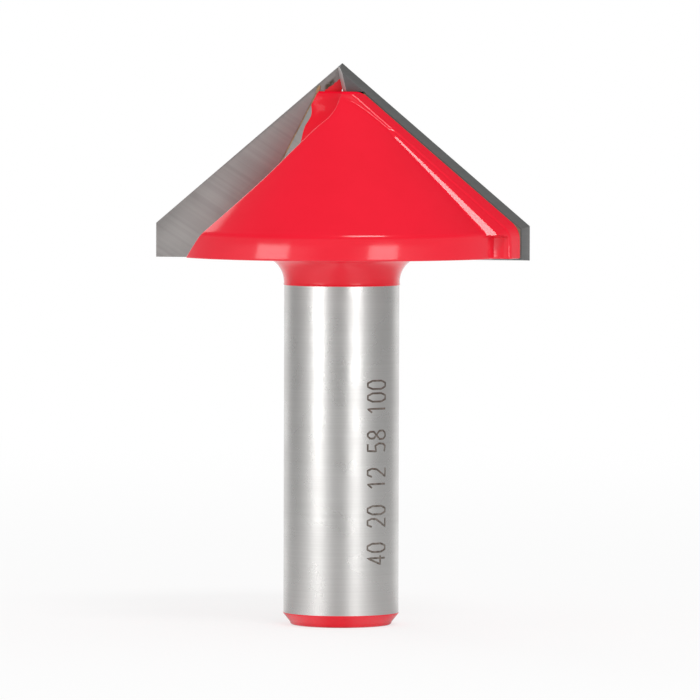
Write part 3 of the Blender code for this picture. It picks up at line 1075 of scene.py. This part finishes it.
@dataclass(frozen=True)
class GroundMetal(Finish):
    """Metal with the lines of a grinding wheel, which run across one direction of the piece."""

    groups: EffectGroups
    name: str
    colour: Colour
    dark_colour: Colour
    roughness: float
    more_rough: float = 0.07
    turn: Point = (0.0, 0.0, 0.0)
    folded: bool = False
    lines_per_metre: float = 9000.0
    lines_length: float = 40.0
    clouds_per_metre: float = 230.0
    waves_per_metre: float = 900.0
    bump: float = 0.3
    bump_height: float = 0.004 * MM
    contrast: float = 0.5
    metallic: float = 1.0
    anisotropic: float = 0.0
    patch: "PaintPatch | None" = None

    def make(self) -> bpy.types.Material:
        """Make the material, with a painted patch where it has one."""
        material, board, shader, place = self.start()
        both_sides = board.vector("ABSOLUTE", place) if self.folded else place
        turned = board.add("ShaderNodeMapping", {"Vector": both_sides, "Rotation": self.turn}).outputs[0]
        line_inputs = {
            "Vector": turned,
            "Lines per metre": self.lines_per_metre,
            "Lines length": self.lines_length,
        }
        lines = board.group(self.groups.ground_lines, line_inputs)
        soil = self.soil(board, place, self.clouds_per_metre, self.waves_per_metre)
        share = board.math("MULTIPLY", lines["Lines"], self.contrast)
        inputs: dict[str, object] = {
            "Base Color": board.blend(share, rgba(self.colour), rgba(self.dark_colour)),
            "Roughness": board.math("MULTIPLY_ADD", soil["Cloud"], self.more_rough, self.roughness),
            "Metallic": self.metallic,
            "Normal": board.bump(self.bump, self.bump_height, lines["Height"]),
        }
        if self.patch is not None:
            # The patch's paint, and above it a painted shade that darkens the base colour near the tip.
            mask, painted_shade = self.patch.masks(board, place)
            shaded = board.blend(painted_shade, inputs["Base Color"], rgba(self.patch.stain_colour))
            inputs["Base Color"] = board.blend(mask, shaded, rgba(self.patch.colour))
            more = board.math("MULTIPLY", mask, self.patch.more_rough)
            inputs["Roughness"] = board.math("ADD", inputs["Roughness"], more)
            inputs["Metallic"] = board.math("MULTIPLY_ADD", mask, -self.metallic, self.metallic)
        if self.anisotropic > 0.0:
            inputs["Anisotropic"] = self.anisotropic
            around = board.add("ShaderNodeTangent", direction_type="RADIAL", axis="Z")
            inputs["Tangent"] = around.outputs[0]
        board.feed(shader, inputs)
        return material


@dataclass(frozen=True)
class PaintPatch:
    """The corner of a blade's face near the axis that the wheel didn't reach, so it keeps its paint.
    Above the paint, near the tip, a painted shade darkens the face.

    A pair holds where a soft edge starts and ends.
    """

    sizes: BitSizes
    colour: Colour = (0.80, 0.011, 0.026)
    more_rough: float = 0.12
    top_drop: float = 1.82 * MM
    top_radius: float = 0.45 * MM
    slope: float = 0.74
    end: Span = (2.25 * MM, 2.35 * MM)
    edge: Span = (-0.05 * MM, 0.06 * MM)
    unevenness: float = 0.5 * MM
    blots_per_metre: float = 2600.0
    blot_detail: float = 3.0
    blots: Span = (0.25, 0.5)
    # Painted shade: a dark band just above the paint, where the face near the tip lies in shade.
    stain_colour: Colour = (0.085, 0.075, 0.05)
    stain_height: Span = (-0.75 * MM, -0.35 * MM)
    stain_start: Span = (0.5 * MM, 1.1 * MM)
    stain_end: Span = (1.65 * MM, 2.05 * MM)

    def masks(
        self, board: NodeBoard, place: bpy.types.NodeSocket
    ) -> tuple[bpy.types.NodeSocket, bpy.types.NodeSocket]:
        """Return the places of the paint and of the painted shade above it.

        Args:
            board: Board of the material.
            place: Object coordinates.

        Returns:
            Two masks from 0 to 1 with uneven edges: the paint and the painted shade.
        """
        parts = board.parts(place)
        radius = board.math("ABSOLUTE", parts[0])
        top = self.sizes.overall_length - self.top_drop
        line = board.math("MULTIPLY_ADD", radius, -self.slope, top + self.slope * self.top_radius)
        noise = board.noise(place, self.blots_per_metre, self.blot_detail)
        uneven = board.math("MULTIPLY_ADD", noise, self.unevenness, -self.unevenness / 2.0)
        below = board.math("ADD", board.math("SUBTRACT", line, parts[2]), uneven)
        near = board.opposite(board.ramp(radius, *self.end))
        paint = board.math("MULTIPLY", board.ramp(below, *self.edge), near)
        # The painted shade lies between two radii, just above the paint's line, broken up by the blots.
        inside = board.opposite(board.ramp(radius, *self.stain_end))
        across = board.math("MULTIPLY", inside, board.ramp(radius, *self.stain_start))
        reach = board.ramp(below, *self.stain_height)
        blotch = board.math("MULTIPLY", reach, board.ramp(noise, *self.blots))
        return paint, board.math("MULTIPLY", blotch, across)


@dataclass(frozen=True)
class CloudyMetal(Finish):
    """Metal that is cloudy from heat or etching."""

    groups: EffectGroups
    name: str
    colour: Colour
    cloud_colour: Colour
    roughness: float
    more_rough: float
    metallic: float
    clouds_per_metre: float
    waves_per_metre: float = 900.0
    bump: float = 0.0
    bump_height: float = 0.02 * MM

    def make(self) -> bpy.types.Material:
        """Make the material."""
        material, board, shader, place = self.start()
        soil = self.soil(board, place, self.clouds_per_metre, self.waves_per_metre)
        inputs = {
            "Base Color": board.blend(soil["Cloud"], rgba(self.colour), rgba(self.cloud_colour)),
            "Roughness": board.math("MULTIPLY_ADD", soil["Cloud"], self.more_rough, self.roughness),
            "Metallic": self.metallic,
        }
        if self.bump > 0.0:
            inputs["Normal"] = board.bump(self.bump, self.bump_height, soil["Wave"])
        board.feed(shader, inputs)
        return material


@dataclass
class Palette:
    """Every finish of the bit, made once."""

    sizes: BitSizes
    groups: EffectGroups

    def __post_init__(self) -> None:
        """Make the materials."""
        groups = self.groups
        self.paint = RedPaint(groups).make()
        self.matt_paint = RedPaint(groups, name="matt red paint", coat=0.0, specular=0.0).make()
        self.thin_paint = RedPaint(groups, name="thin red paint", coat=0.22).make()
        self.steel = GroundMetal(
            groups,
            name="ground shank steel",
            colour=(0.74, 0.73, 0.715),
            dark_colour=(0.63, 0.615, 0.60),
            roughness=0.25,
            lines_per_metre=7000.0,
            lines_length=30.0,
            contrast=0.35,
            bump=0.12,
            anisotropic=0.5,
        ).make()
        streaks = {
            "turn": (0.0, math.radians(32.0), 0.0),
            "folded": True,
            "lines_per_metre": 2600.0,
            "lines_length": 120.0,
        }
        self.rake = GroundMetal(
            groups,
            name="ground carbide face",
            colour=(0.36, 0.345, 0.335),
            dark_colour=(0.27, 0.255, 0.25),
            roughness=0.42,
            metallic=0.55,
            contrast=0.55,
            patch=PaintPatch(self.sizes),
            **streaks,
        ).make()
        self.strip = GroundMetal(
            groups,
            name="ground steel strip",
            colour=(0.42, 0.41, 0.395),
            dark_colour=(0.31, 0.30, 0.285),
            roughness=0.28,
            **streaks,
        ).make()
        relief = {"roughness": 0.45, "lines_per_metre": 5000.0, "lines_length": 60.0}
        # The flank is the same ground carbide as the rake face; its darker colour is painted shade.
        self.flank = GroundMetal(
            groups,
            name="ground carbide flank with painted shade",
            colour=(0.18, 0.18, 0.177),
            dark_colour=(0.14, 0.14, 0.138),
            metallic=0.3,
            **relief,
        ).make()
        # The gash is the same ground carbide as the flank; its lighter colour is a painted highlight.
        self.gash = GroundMetal(
            groups,
            name="ground carbide gash with painted highlight",
            colour=(0.50, 0.48, 0.47),
            dark_colour=(0.44, 0.42, 0.41),
            metallic=0.2,
            **relief,
        ).make()
        self.back = GroundMetal(
            groups,
            name="sintered carbide",
            colour=(0.14, 0.14, 0.14),
            dark_colour=(0.11, 0.11, 0.11),
            roughness=0.55,
            metallic=0.3,
            lines_per_metre=2600.0,
            lines_length=400.0,
            bump=0.15,
        ).make()
        self.braze = CloudyMetal(
            groups,
            name="braze",
            colour=(0.56, 0.40, 0.22),
            cloud_colour=(0.32, 0.25, 0.18),
            roughness=0.5,
            more_rough=0.2,
            metallic=0.7,
            clouds_per_metre=1500.0,
            waves_per_metre=4000.0,
            bump=0.4,
        ).make()
        self.mark = CloudyMetal(
            groups,
            name="etched mark",
            colour=(0.15, 0.125, 0.105),
            cloud_colour=(0.30, 0.27, 0.24),
            roughness=0.62,
            more_rough=0.15,
            metallic=0.55,
            clouds_per_metre=2400.0,
        ).make()


@dataclass
class Body:
    """The steel body with its paint."""

    form: HeadForm
    palette: Palette

    def build(self) -> bpy.types.Object:
        """Build the body and put it in the place of its solid."""
        mesh = BodyMesh(self.form).build("painted_body")
        finishes = self.palette
        materials = {
            Zone.PAINT: finishes.paint,
            Zone.STEEL: finishes.steel,
            Zone.STRIP: finishes.strip,
            Zone.TOP: finishes.matt_paint,
            Zone.GULLET: finishes.thin_paint,
        }
        piece = add_piece("painted_body", mesh, [materials[zone] for zone in Zone])
        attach(piece, "root")
        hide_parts("cutter_body")
        return piece


@dataclass
class Blade:
    """One carbide blade and its braze."""

    side: Side
    nodes: dict[str, bpy.types.Object]
    palette: Palette
    edge_round: float = 0.018 * MM
    flat_angle: float = math.radians(1.0)
    bevel_angle: float = math.radians(15.0)
    sharp_angle: float = math.radians(50.0)
    rake_facing: float = 0.6
    back_facing: float = -0.9
    gash_facing: Span = (-0.5, -0.3)
    bead_place: Point = (2.6 * MM, 0.0, 55.72 * MM)
    bead_half: Point = (0.21 * MM, 0.16 * MM, 0.47 * MM)
    bead_lean: float = math.radians(-22.0)
    bead_swell: Span = (0.12, 0.07)
    bead_waves: Point = (3.1, 5.3, 2.0)

    def build(self) -> list[bpy.types.Object]:
        """Build the blade from its solid, with fine edges and a finish for each face."""
        letter = self.side.name.lower()
        source = self.nodes[f"carbide_tip_{letter}"]
        work = bmesh.new()
        work.from_mesh(source.data)
        bmesh.ops.remove_doubles(work, verts=work.verts, dist=WELD)
        bmesh.ops.dissolve_limit(work, angle_limit=self.flat_angle, verts=work.verts, edges=work.edges)
        sharp = [edge for edge in work.edges if edge.calc_face_angle(0.0) > self.bevel_angle]
        rounding = {"offset": self.edge_round, "segments": 2, "profile": 0.5, "affect": "EDGES"}
        bmesh.ops.bevel(work, geom=sharp, clamp_overlap=True, **rounding)
        for face in work.faces:
            face.material_index = self.finish(face.normal).value
            face.smooth = True
        name = f"ground_blade_{letter}"
        mesh = finished_mesh(work, name)
        mesh.set_sharp_from_angle(angle=self.sharp_angle)
        finishes = self.palette
        materials = {
            BladeFace.RAKE: finishes.rake,
            BladeFace.FLANK: finishes.flank,
            BladeFace.BACK: finishes.back,
            BladeFace.GASH: finishes.gash,
        }
        piece = add_piece(name, mesh, [materials[face] for face in BladeFace])
        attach(piece, "root")
        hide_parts(source.name)
        for slot in self.nodes[f"braze_joint_{letter}"].material_slots:
            slot.material = finishes.braze
        return [piece, self.bead(letter)]

    def bead(self, letter: str) -> bpy.types.Object:
        """Build the bead of braze that has run out at the top of the blade's inner edge.

        Args:
            letter: The side's letter.

        Returns:
            The bead, a drop with an uneven swell.
        """
        broad, fine = self.bead_swell
        up, across, slant = self.bead_waves
        work = bmesh.new()
        bmesh.ops.create_icosphere(work, subdivisions=4, radius=1.0)
        for vert in work.verts:
            x, _, z = vert.co
            swell = 1.0 + broad * math.sin(up * z) + fine * math.sin(across * x + slant * z)
            vert.co = Vector([part * half * swell for part, half in zip(vert.co, self.bead_half)])
        for face in work.faces:
            face.smooth = True
        lean = Matrix.Rotation(self.bead_lean, 4, "Y")
        place = Matrix.Translation(Vector(self.bead_place))
        bmesh.ops.transform(work, matrix=self.side.turn() @ place @ lean, verts=work.verts)
        name = f"braze_bead_{letter}"
        piece = add_piece(name, finished_mesh(work, name), [self.palette.braze])
        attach(piece, "root")
        return piece

    def finish(self, normal: Vector) -> BladeFace:
        """Return the finish of a face that looks this way."""
        forward = 1.0 if self.side is Side.A else -1.0
        across, ahead = normal.x * forward, normal.y * forward
        if ahead > self.rake_facing:
            return BladeFace.RAKE
        if ahead < self.back_facing:
            return BladeFace.BACK
        if across < self.gash_facing[0] and ahead < self.gash_facing[1]:
            return BladeFace.GASH
        return BladeFace.FLANK


OVAL = (
    (0.0, 0.25), (0.0, 0.75), (0.15, 1.0), (0.4, 1.0),
    (0.55, 0.75), (0.55, 0.25), (0.4, 0.0), (0.15, 0.0), (0.0, 0.25),
)
SWAN = ((0.0, 0.78), (0.13, 1.0), (0.42, 1.0), (0.55, 0.78), (0.5, 0.52), (0.0, 0.0), (0.58, 0.0))
HOOK = (
    (0.52, 1.0), (0.06, 1.0), (0.02, 0.55), (0.38, 0.6),
    (0.55, 0.4), (0.52, 0.12), (0.36, 0.0), (0.0, 0.06),
)
UPPER_LOOP = (
    (0.28, 0.54), (0.05, 0.68), (0.05, 0.88), (0.2, 1.0),
    (0.36, 1.0), (0.5, 0.88), (0.5, 0.68), (0.28, 0.54),
)
LOWER_LOOP = (
    (0.28, 0.54), (0.0, 0.36), (0.0, 0.14), (0.16, 0.0),
    (0.4, 0.0), (0.56, 0.14), (0.56, 0.36), (0.28, 0.54),
)
DIGIT_STROKES: dict[str, tuple[tuple[FlatPoint, ...], ...]] = {
    "0": (OVAL,),
    "1": (((0.1, 0.78), (0.35, 1.0), (0.35, 0.0)),),
    "2": (SWAN,),
    "4": (((0.42, 0.0), (0.42, 1.0), (0.0, 0.3), (0.6, 0.3)),),
    "5": (HOOK,),
    "8": (UPPER_LOOP, LOWER_LOOP),
}


@dataclass
class EtchedNumbers:
    """A row of plain numbers etched along the shank, which reads upwards."""

    sizes: BitSizes
    palette: Palette
    numbers: str = "40 20 12 58 100"
    advance: float = 1.3 * MM
    digit_width: float = 1.55 * MM
    digit_height: float = 2.3 * MM
    stroke: float = 0.2 * MM
    raised: float = 0.006 * MM
    start_height: float = 6.6 * MM
    baseline_turn: float = math.radians(-27.6)
    cuts: int = 5

    def strokes(self) -> bpy.types.Mesh:
        """Return the digits' strokes as edges in a plane, along X with their tops along Y."""
        work = bmesh.new()
        for slot, digit in enumerate(self.numbers):
            for stroke in DIGIT_STROKES.get(digit, ()):
                line = []
                for across, up in stroke:
                    x = slot * self.advance + across * self.digit_width
                    line.append(work.verts.new((x, up * self.digit_height, 0.0)))
                for first, second in zip(line, line[1:]):
                    work.edges.new((first, second))
        return finished_mesh(work, "etched_strokes")

    def wrap_tree(self) -> bpy.types.GeometryNodeTree:
        """Make the node tree that gives strokes a width and wraps them round a cylinder."""
        tree = bpy.data.node_groups.new("wrapped strokes", "GeometryNodeTree")
        tree.interface.new_socket("Geometry", in_out="OUTPUT", socket_type="NodeSocketGeometry")
        kinds = {
            "Geometry": "Geometry",
            "Cylinder radius": "Float",
            "Baseline turn": "Float",
            "Start height": "Float",
            "Stroke width": "Float",
            "Stroke thickness": "Float",
            "Cuts": "Int",
            "Material": "Material",
        }
        for title, kind in kinds.items():
            tree.interface.new_socket(title, in_out="INPUT", socket_type=f"NodeSocket{kind}")
        board = NodeBoard(tree)
        start = board.add("NodeGroupInput").outputs
        end = board.add("NodeGroupOutput")
        curve = board.add("GeometryNodeMeshToCurve", {"Mesh": start["Geometry"]}).outputs[0]
        cut_inputs = {"Curve": curve, "Cuts": start["Cuts"]}
        curve = board.add("GeometryNodeSubdivideCurve", cut_inputs).outputs[0]
        curve = board.add("GeometryNodeSetCurveNormal", {"Curve": curve}, mode="Z_UP").outputs[0]
        profile_inputs = {"Width": start["Stroke width"], "Height": start["Stroke thickness"]}
        profile = board.add("GeometryNodeCurvePrimitiveQuadrilateral", profile_inputs).outputs[0]
        mesh_inputs = {"Curve": curve, "Profile Curve": profile, "Fill Caps": True}
        mesh = board.add("GeometryNodeCurveToMesh", mesh_inputs).outputs[0]
        along, up, out = board.parts(board.add("GeometryNodeInputPosition").outputs[0])
        radius = start["Cylinder radius"]
        turn = board.math("SUBTRACT", start["Baseline turn"], board.math("DIVIDE", up, radius))
        reach = board.math("ADD", radius, out)
        x = board.math("MULTIPLY", reach, board.math("COSINE", turn))
        y = board.math("MULTIPLY", reach, board.math("SINE", turn))
        wrapped = board.joined(x, y, board.math("ADD", start["Start height"], along))
        mesh = board.add("GeometryNodeSetPosition", {"Geometry": mesh, "Position": wrapped}).outputs[0]
        mesh = board.add("GeometryNodeRealizeInstances", {"Geometry": mesh}).outputs[0]
        finish_inputs = {"Geometry": mesh, "Material": start["Material"]}
        mesh = board.add("GeometryNodeSetMaterial", finish_inputs).outputs[0]
        board.feed(end, {"Geometry": mesh})
        return tree

    def build(self) -> bpy.types.Object:
        """Build the row as a plain mesh on the shank."""
        tree = self.wrap_tree()
        piece = add_piece("etched_numbers", self.strokes(), ())
        modifier = piece.modifiers.new("wrap", "NODES")
        modifier.node_group = tree
        values = {
            "Cylinder radius": self.sizes.shank_diameter / 2.0,
            "Baseline turn": self.baseline_turn,
            "Start height": self.start_height,
            "Stroke width": self.stroke,
            "Stroke thickness": 2.0 * self.raised,
            "Cuts": self.cuts,
            "Material": self.palette.mark,
        }
        for socket in tree.interface.items_tree:
            if socket.in_out == "INPUT" and socket.name in values:
                modifier[socket.identifier] = values[socket.name]
        view = bpy.context.evaluated_depsgraph_get()
        mesh = bpy.data.meshes.new_from_object(piece.evaluated_get(view), depsgraph=view)
        piece.modifiers.remove(modifier)
        piece.data = mesh
        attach(piece, "root")
        return piece


@dataclass(frozen=True)
class SoftBox:
    """A soft box that looks at the bit's middle.

    Its place is in degrees to the right of the camera and above the level, as seen from the bit. Its
    radiance is how bright its front looks, where 1 is white.
    """

    name: str
    azimuth: float
    elevation: float
    distance: float
    width: float
    height: float
    radiance: float


SOFT_BOXES = (
    SoftBox("left_soft_box", -47.0, 0.0, 0.55, 0.22, 0.05, 4.2),
    SoftBox("right_soft_box", 28.0, 0.0, 0.55, 0.19, 0.05, 4.2),
    SoftBox("high_soft_box", 22.0, 55.5, 0.55, 0.19, 0.13, 9.6),
    SoftBox("rear_soft_box", -150.0, 33.0, 0.6, 0.25, 0.22, 1.5),
)


@dataclass
class Studio:
    """The plain pale floor, the soft light and the camera.

    A pair holds where a fade starts and ends. Turns are degrees to the right of the camera, as seen
    from the bit, and heights are the upward part of a direction.
    """

    azimuth: float = math.radians(13.3)
    elevation: float = math.radians(2.5)
    roll: float = math.radians(0.16)
    distance: float = 0.8
    sensor_width: float = 36.0
    clip: Span = (0.01, 50.0)
    view_width: float = 72.92 * MM
    shift_right: float = 0.875 * MM
    target_height: float = 28.63 * MM
    floor_radius: float = 6.0
    floor_sides: int = 96
    floor_gap: float = 0.01 * MM
    floor_colour: Colour = (0.92, 0.92, 0.92)
    floor_fade: Span = (0.03, 0.35)
    floor_white: float = 0.7
    dome_level: float = 0.76
    wall_level: float = 0.4
    ceiling_level: float = 0.02
    wall_top: Span = (0.15, 0.6)
    backdrop_top: Span = (0.08, 0.3)
    backdrop_turn: Span = (112.0, 148.0)
    left_glow: tuple[Span, Span] = ((-98.0, -52.0), (-32.0, -10.0))
    right_glow: tuple[Span, Span] = ((2.0, 22.0), (32.0, 76.0))
    glow_top: Span = (0.0, 0.02)

    def __post_init__(self) -> None:
        """Make the room that gloss and metal mirror."""
        self.room = self.make_room()

    def direction(self, azimuth: float, elevation: float) -> Vector:
        """Return the direction this far to the right of the camera and above the level."""
        turn = self.azimuth + azimuth
        across = math.cos(elevation)
        return Vector((math.sin(turn) * across, -math.cos(turn) * across, math.sin(elevation)))

    def build(self) -> None:
        """Build the studio."""
        self.add_camera()
        self.add_floor()
        self.add_world()
        for box in SOFT_BOXES:
            self.add_soft_box(box)
        bpy.context.scene.view_settings.view_transform = "Standard"

    def add_camera(self) -> None:
        """Add the camera at the photograph's viewing angle."""
        back = self.direction(0.0, self.elevation)
        right = Vector((math.cos(self.azimuth), math.sin(self.azimuth), 0.0))
        up = back.cross(right)
        leaning_right = right * math.cos(self.roll) + up * math.sin(self.roll)
        leaning_up = up * math.cos(self.roll) - right * math.sin(self.roll)
        target = right * self.shift_right + Vector((0.0, 0.0, self.target_height))
        lens = bpy.data.cameras.new("camera")
        lens.sensor_width = self.sensor_width
        lens.lens = lens.sensor_width * self.distance / self.view_width
        lens.clip_start, lens.clip_end = self.clip
        camera = bpy.data.objects.new("camera", lens)
        place = Matrix((leaning_right, leaning_up, back)).transposed().to_4x4()
        place.translation = target + back * self.distance
        camera.matrix_world = place
        bpy.context.scene.collection.objects.link(camera)
        bpy.context.scene.camera = camera

    def add_floor(self) -> None:
        """Add a wide round floor that fades into the white background."""
        work = bmesh.new()
        bmesh.ops.create_circle(work, cap_ends=True, segments=self.floor_sides, radius=self.floor_radius)
        bmesh.ops.translate(work, vec=(0.0, 0.0, -self.floor_gap), verts=work.verts)
        mesh = finished_mesh(work, "studio_floor")
        floor = add_piece("studio_floor", mesh, [self.floor_material()])

    def floor_material(self) -> bpy.types.Material:
        """Make the floor's matt white, which turns to plain white away from the bit."""
        material = bpy.data.materials.new("matt white floor")
        material.use_nodes = True
        tree = material.node_tree
        board = NodeBoard(tree)
        tree.nodes.remove(tree.nodes["Principled BSDF"])
        place = board.add("ShaderNodeTexCoord").outputs["Object"]
        far = board.ramp(board.vector("LENGTH", place), *self.floor_fade)
        rays = board.add("ShaderNodeLightPath").outputs
        seen = board.math("MAXIMUM", rays["Is Camera Ray"], rays["Is Glossy Ray"])
        white_share = board.math("MULTIPLY_ADD", far, 1.0 - self.floor_white, self.floor_white)
        share = board.math("MULTIPLY", white_share, seen)
        matt = board.add("ShaderNodeBsdfDiffuse", {"Color": rgba(self.floor_colour)}).outputs[0]
        level = board.group(self.room, {"Vector": place})["Level"]
        mirrored = board.math("MULTIPLY", rays["Is Glossy Ray"], level)
        strength = board.math("MAXIMUM", rays["Is Camera Ray"], mirrored)
        white = board.add("ShaderNodeEmission", {"Strength": strength}).outputs[0]
        mixed = board.add("ShaderNodeMixShader", {"0": share, "1": matt, "2": white}).outputs[0]
        board.feed(tree.nodes["Material Output"], {"Surface": mixed})
        return material

    def make_room(self) -> bpy.types.NodeTree:
        """Make what gloss and metal mirror.

        It has grey walls, white low down behind the bit, dark high up, and a bright band low down on
        each side of the camera.

        Returns:
            The group, which puts out the brightness of the room in the direction of a vector.
        """
        board, start, end = EffectGroups.new_group("room", {"Vector": None}, ("Level",))
        way = board.vector("NORMALIZE", start["Vector"])
        height = board.parts(way)[2]
        level = board.vector("NORMALIZE", board.vector("MULTIPLY", way, (1.0, 1.0, 0.0)))
        axes = (self.direction(math.radians(90.0), 0.0), self.direction(0.0, 0.0))
        radians = board.math("ARCTAN2", *(board.vector("DOT_PRODUCT", level, axis) for axis in axes))
        turn = board.math("MULTIPLY", radians, math.degrees(1.0))
        behind = board.ramp(board.math("ABSOLUTE", turn), *self.backdrop_turn)
        low = board.opposite(board.ramp(height, *self.backdrop_top))
        wall = board.opposite(board.ramp(height, *self.wall_top))
        glows = []
        for start_turn, end_turn in (self.left_glow, self.right_glow):
            fading = board.opposite(board.ramp(turn, *end_turn))
            glows.append(board.math("MULTIPLY", board.ramp(turn, *start_turn), fading))
        level_only = board.opposite(board.ramp(height, *self.glow_top))
        glow = board.math("MULTIPLY", board.math("MAXIMUM", *glows), level_only)
        band = board.math("MAXIMUM", board.math("MULTIPLY", behind, low), glow)
        rise = self.wall_level - self.ceiling_level
        walls = board.math("MULTIPLY_ADD", wall, rise, self.ceiling_level)
        board.feed(end, {"Level": board.math("MULTIPLY_ADD", band, 1.0 - self.wall_level, walls)})
        return board.tree

    def add_world(self) -> None:
        """Light the scene with a plain dome, white where the camera sees it."""
        world = bpy.data.worlds.new("studio dome")
        world.use_nodes = True
        board = NodeBoard(world.node_tree)
        way = board.add("ShaderNodeTexCoord").outputs["Generated"]
        level = board.group(self.room, {"Vector": way})["Level"]
        rays = board.add("ShaderNodeLightPath").outputs
        dome = board.math("MULTIPLY", rays["Is Diffuse Ray"], self.dome_level)
        mirrored = board.math("MULTIPLY", rays["Is Glossy Ray"], level)
        unseen = board.math("MAXIMUM", dome, mirrored)
        strength = board.math("MAXIMUM", unseen, rays["Is Camera Ray"])
        inputs = {"Color": rgba((1.0, 1.0, 1.0)), "Strength": strength}
        board.feed(world.node_tree.nodes["Background"], inputs)
        bpy.context.scene.world = world

    def add_soft_box(self, box: SoftBox) -> None:
        """Add one soft box that looks at the bit's middle."""
        way = self.direction(math.radians(box.azimuth), math.radians(box.elevation))
        light = bpy.data.lights.new(box.name, "AREA")
        light.shape = "RECTANGLE"
        light.size, light.size_y = box.width, box.height
        light.energy = box.radiance * math.pi * box.width * box.height
        lamp = bpy.data.objects.new(box.name, light)
        place = way.to_track_quat("Z", "Y").to_matrix().to_4x4()
        place.translation = way * box.distance + Vector((0.0, 0.0, self.target_height))
        lamp.matrix_world = place
        bpy.context.scene.collection.objects.link(lamp)


def report(pieces: Iterable[bpy.types.Object]) -> None:
    """Log the name and size in faces of each piece."""
    for piece in pieces:
        LOG.info("%s: %d faces", piece.name, len(piece.data.polygons))


def main() -> None:
    """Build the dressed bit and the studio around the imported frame."""
    logging.basicConfig(level=logging.INFO, format="%(name)s: %(message)s")
    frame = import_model()
    sizes = BitSizes()
    form = HeadForm(sizes, PaintSizes(), HeelWall())
    palette = Palette(sizes, EffectGroups())
    report([Body(form, palette).build()])
    for side in Side:
        report(Blade(side, frame["nodes"], palette).build())
    report([EtchedNumbers(sizes, palette).build()])
    Studio().build()


if __name__ == "__main__":
    main()
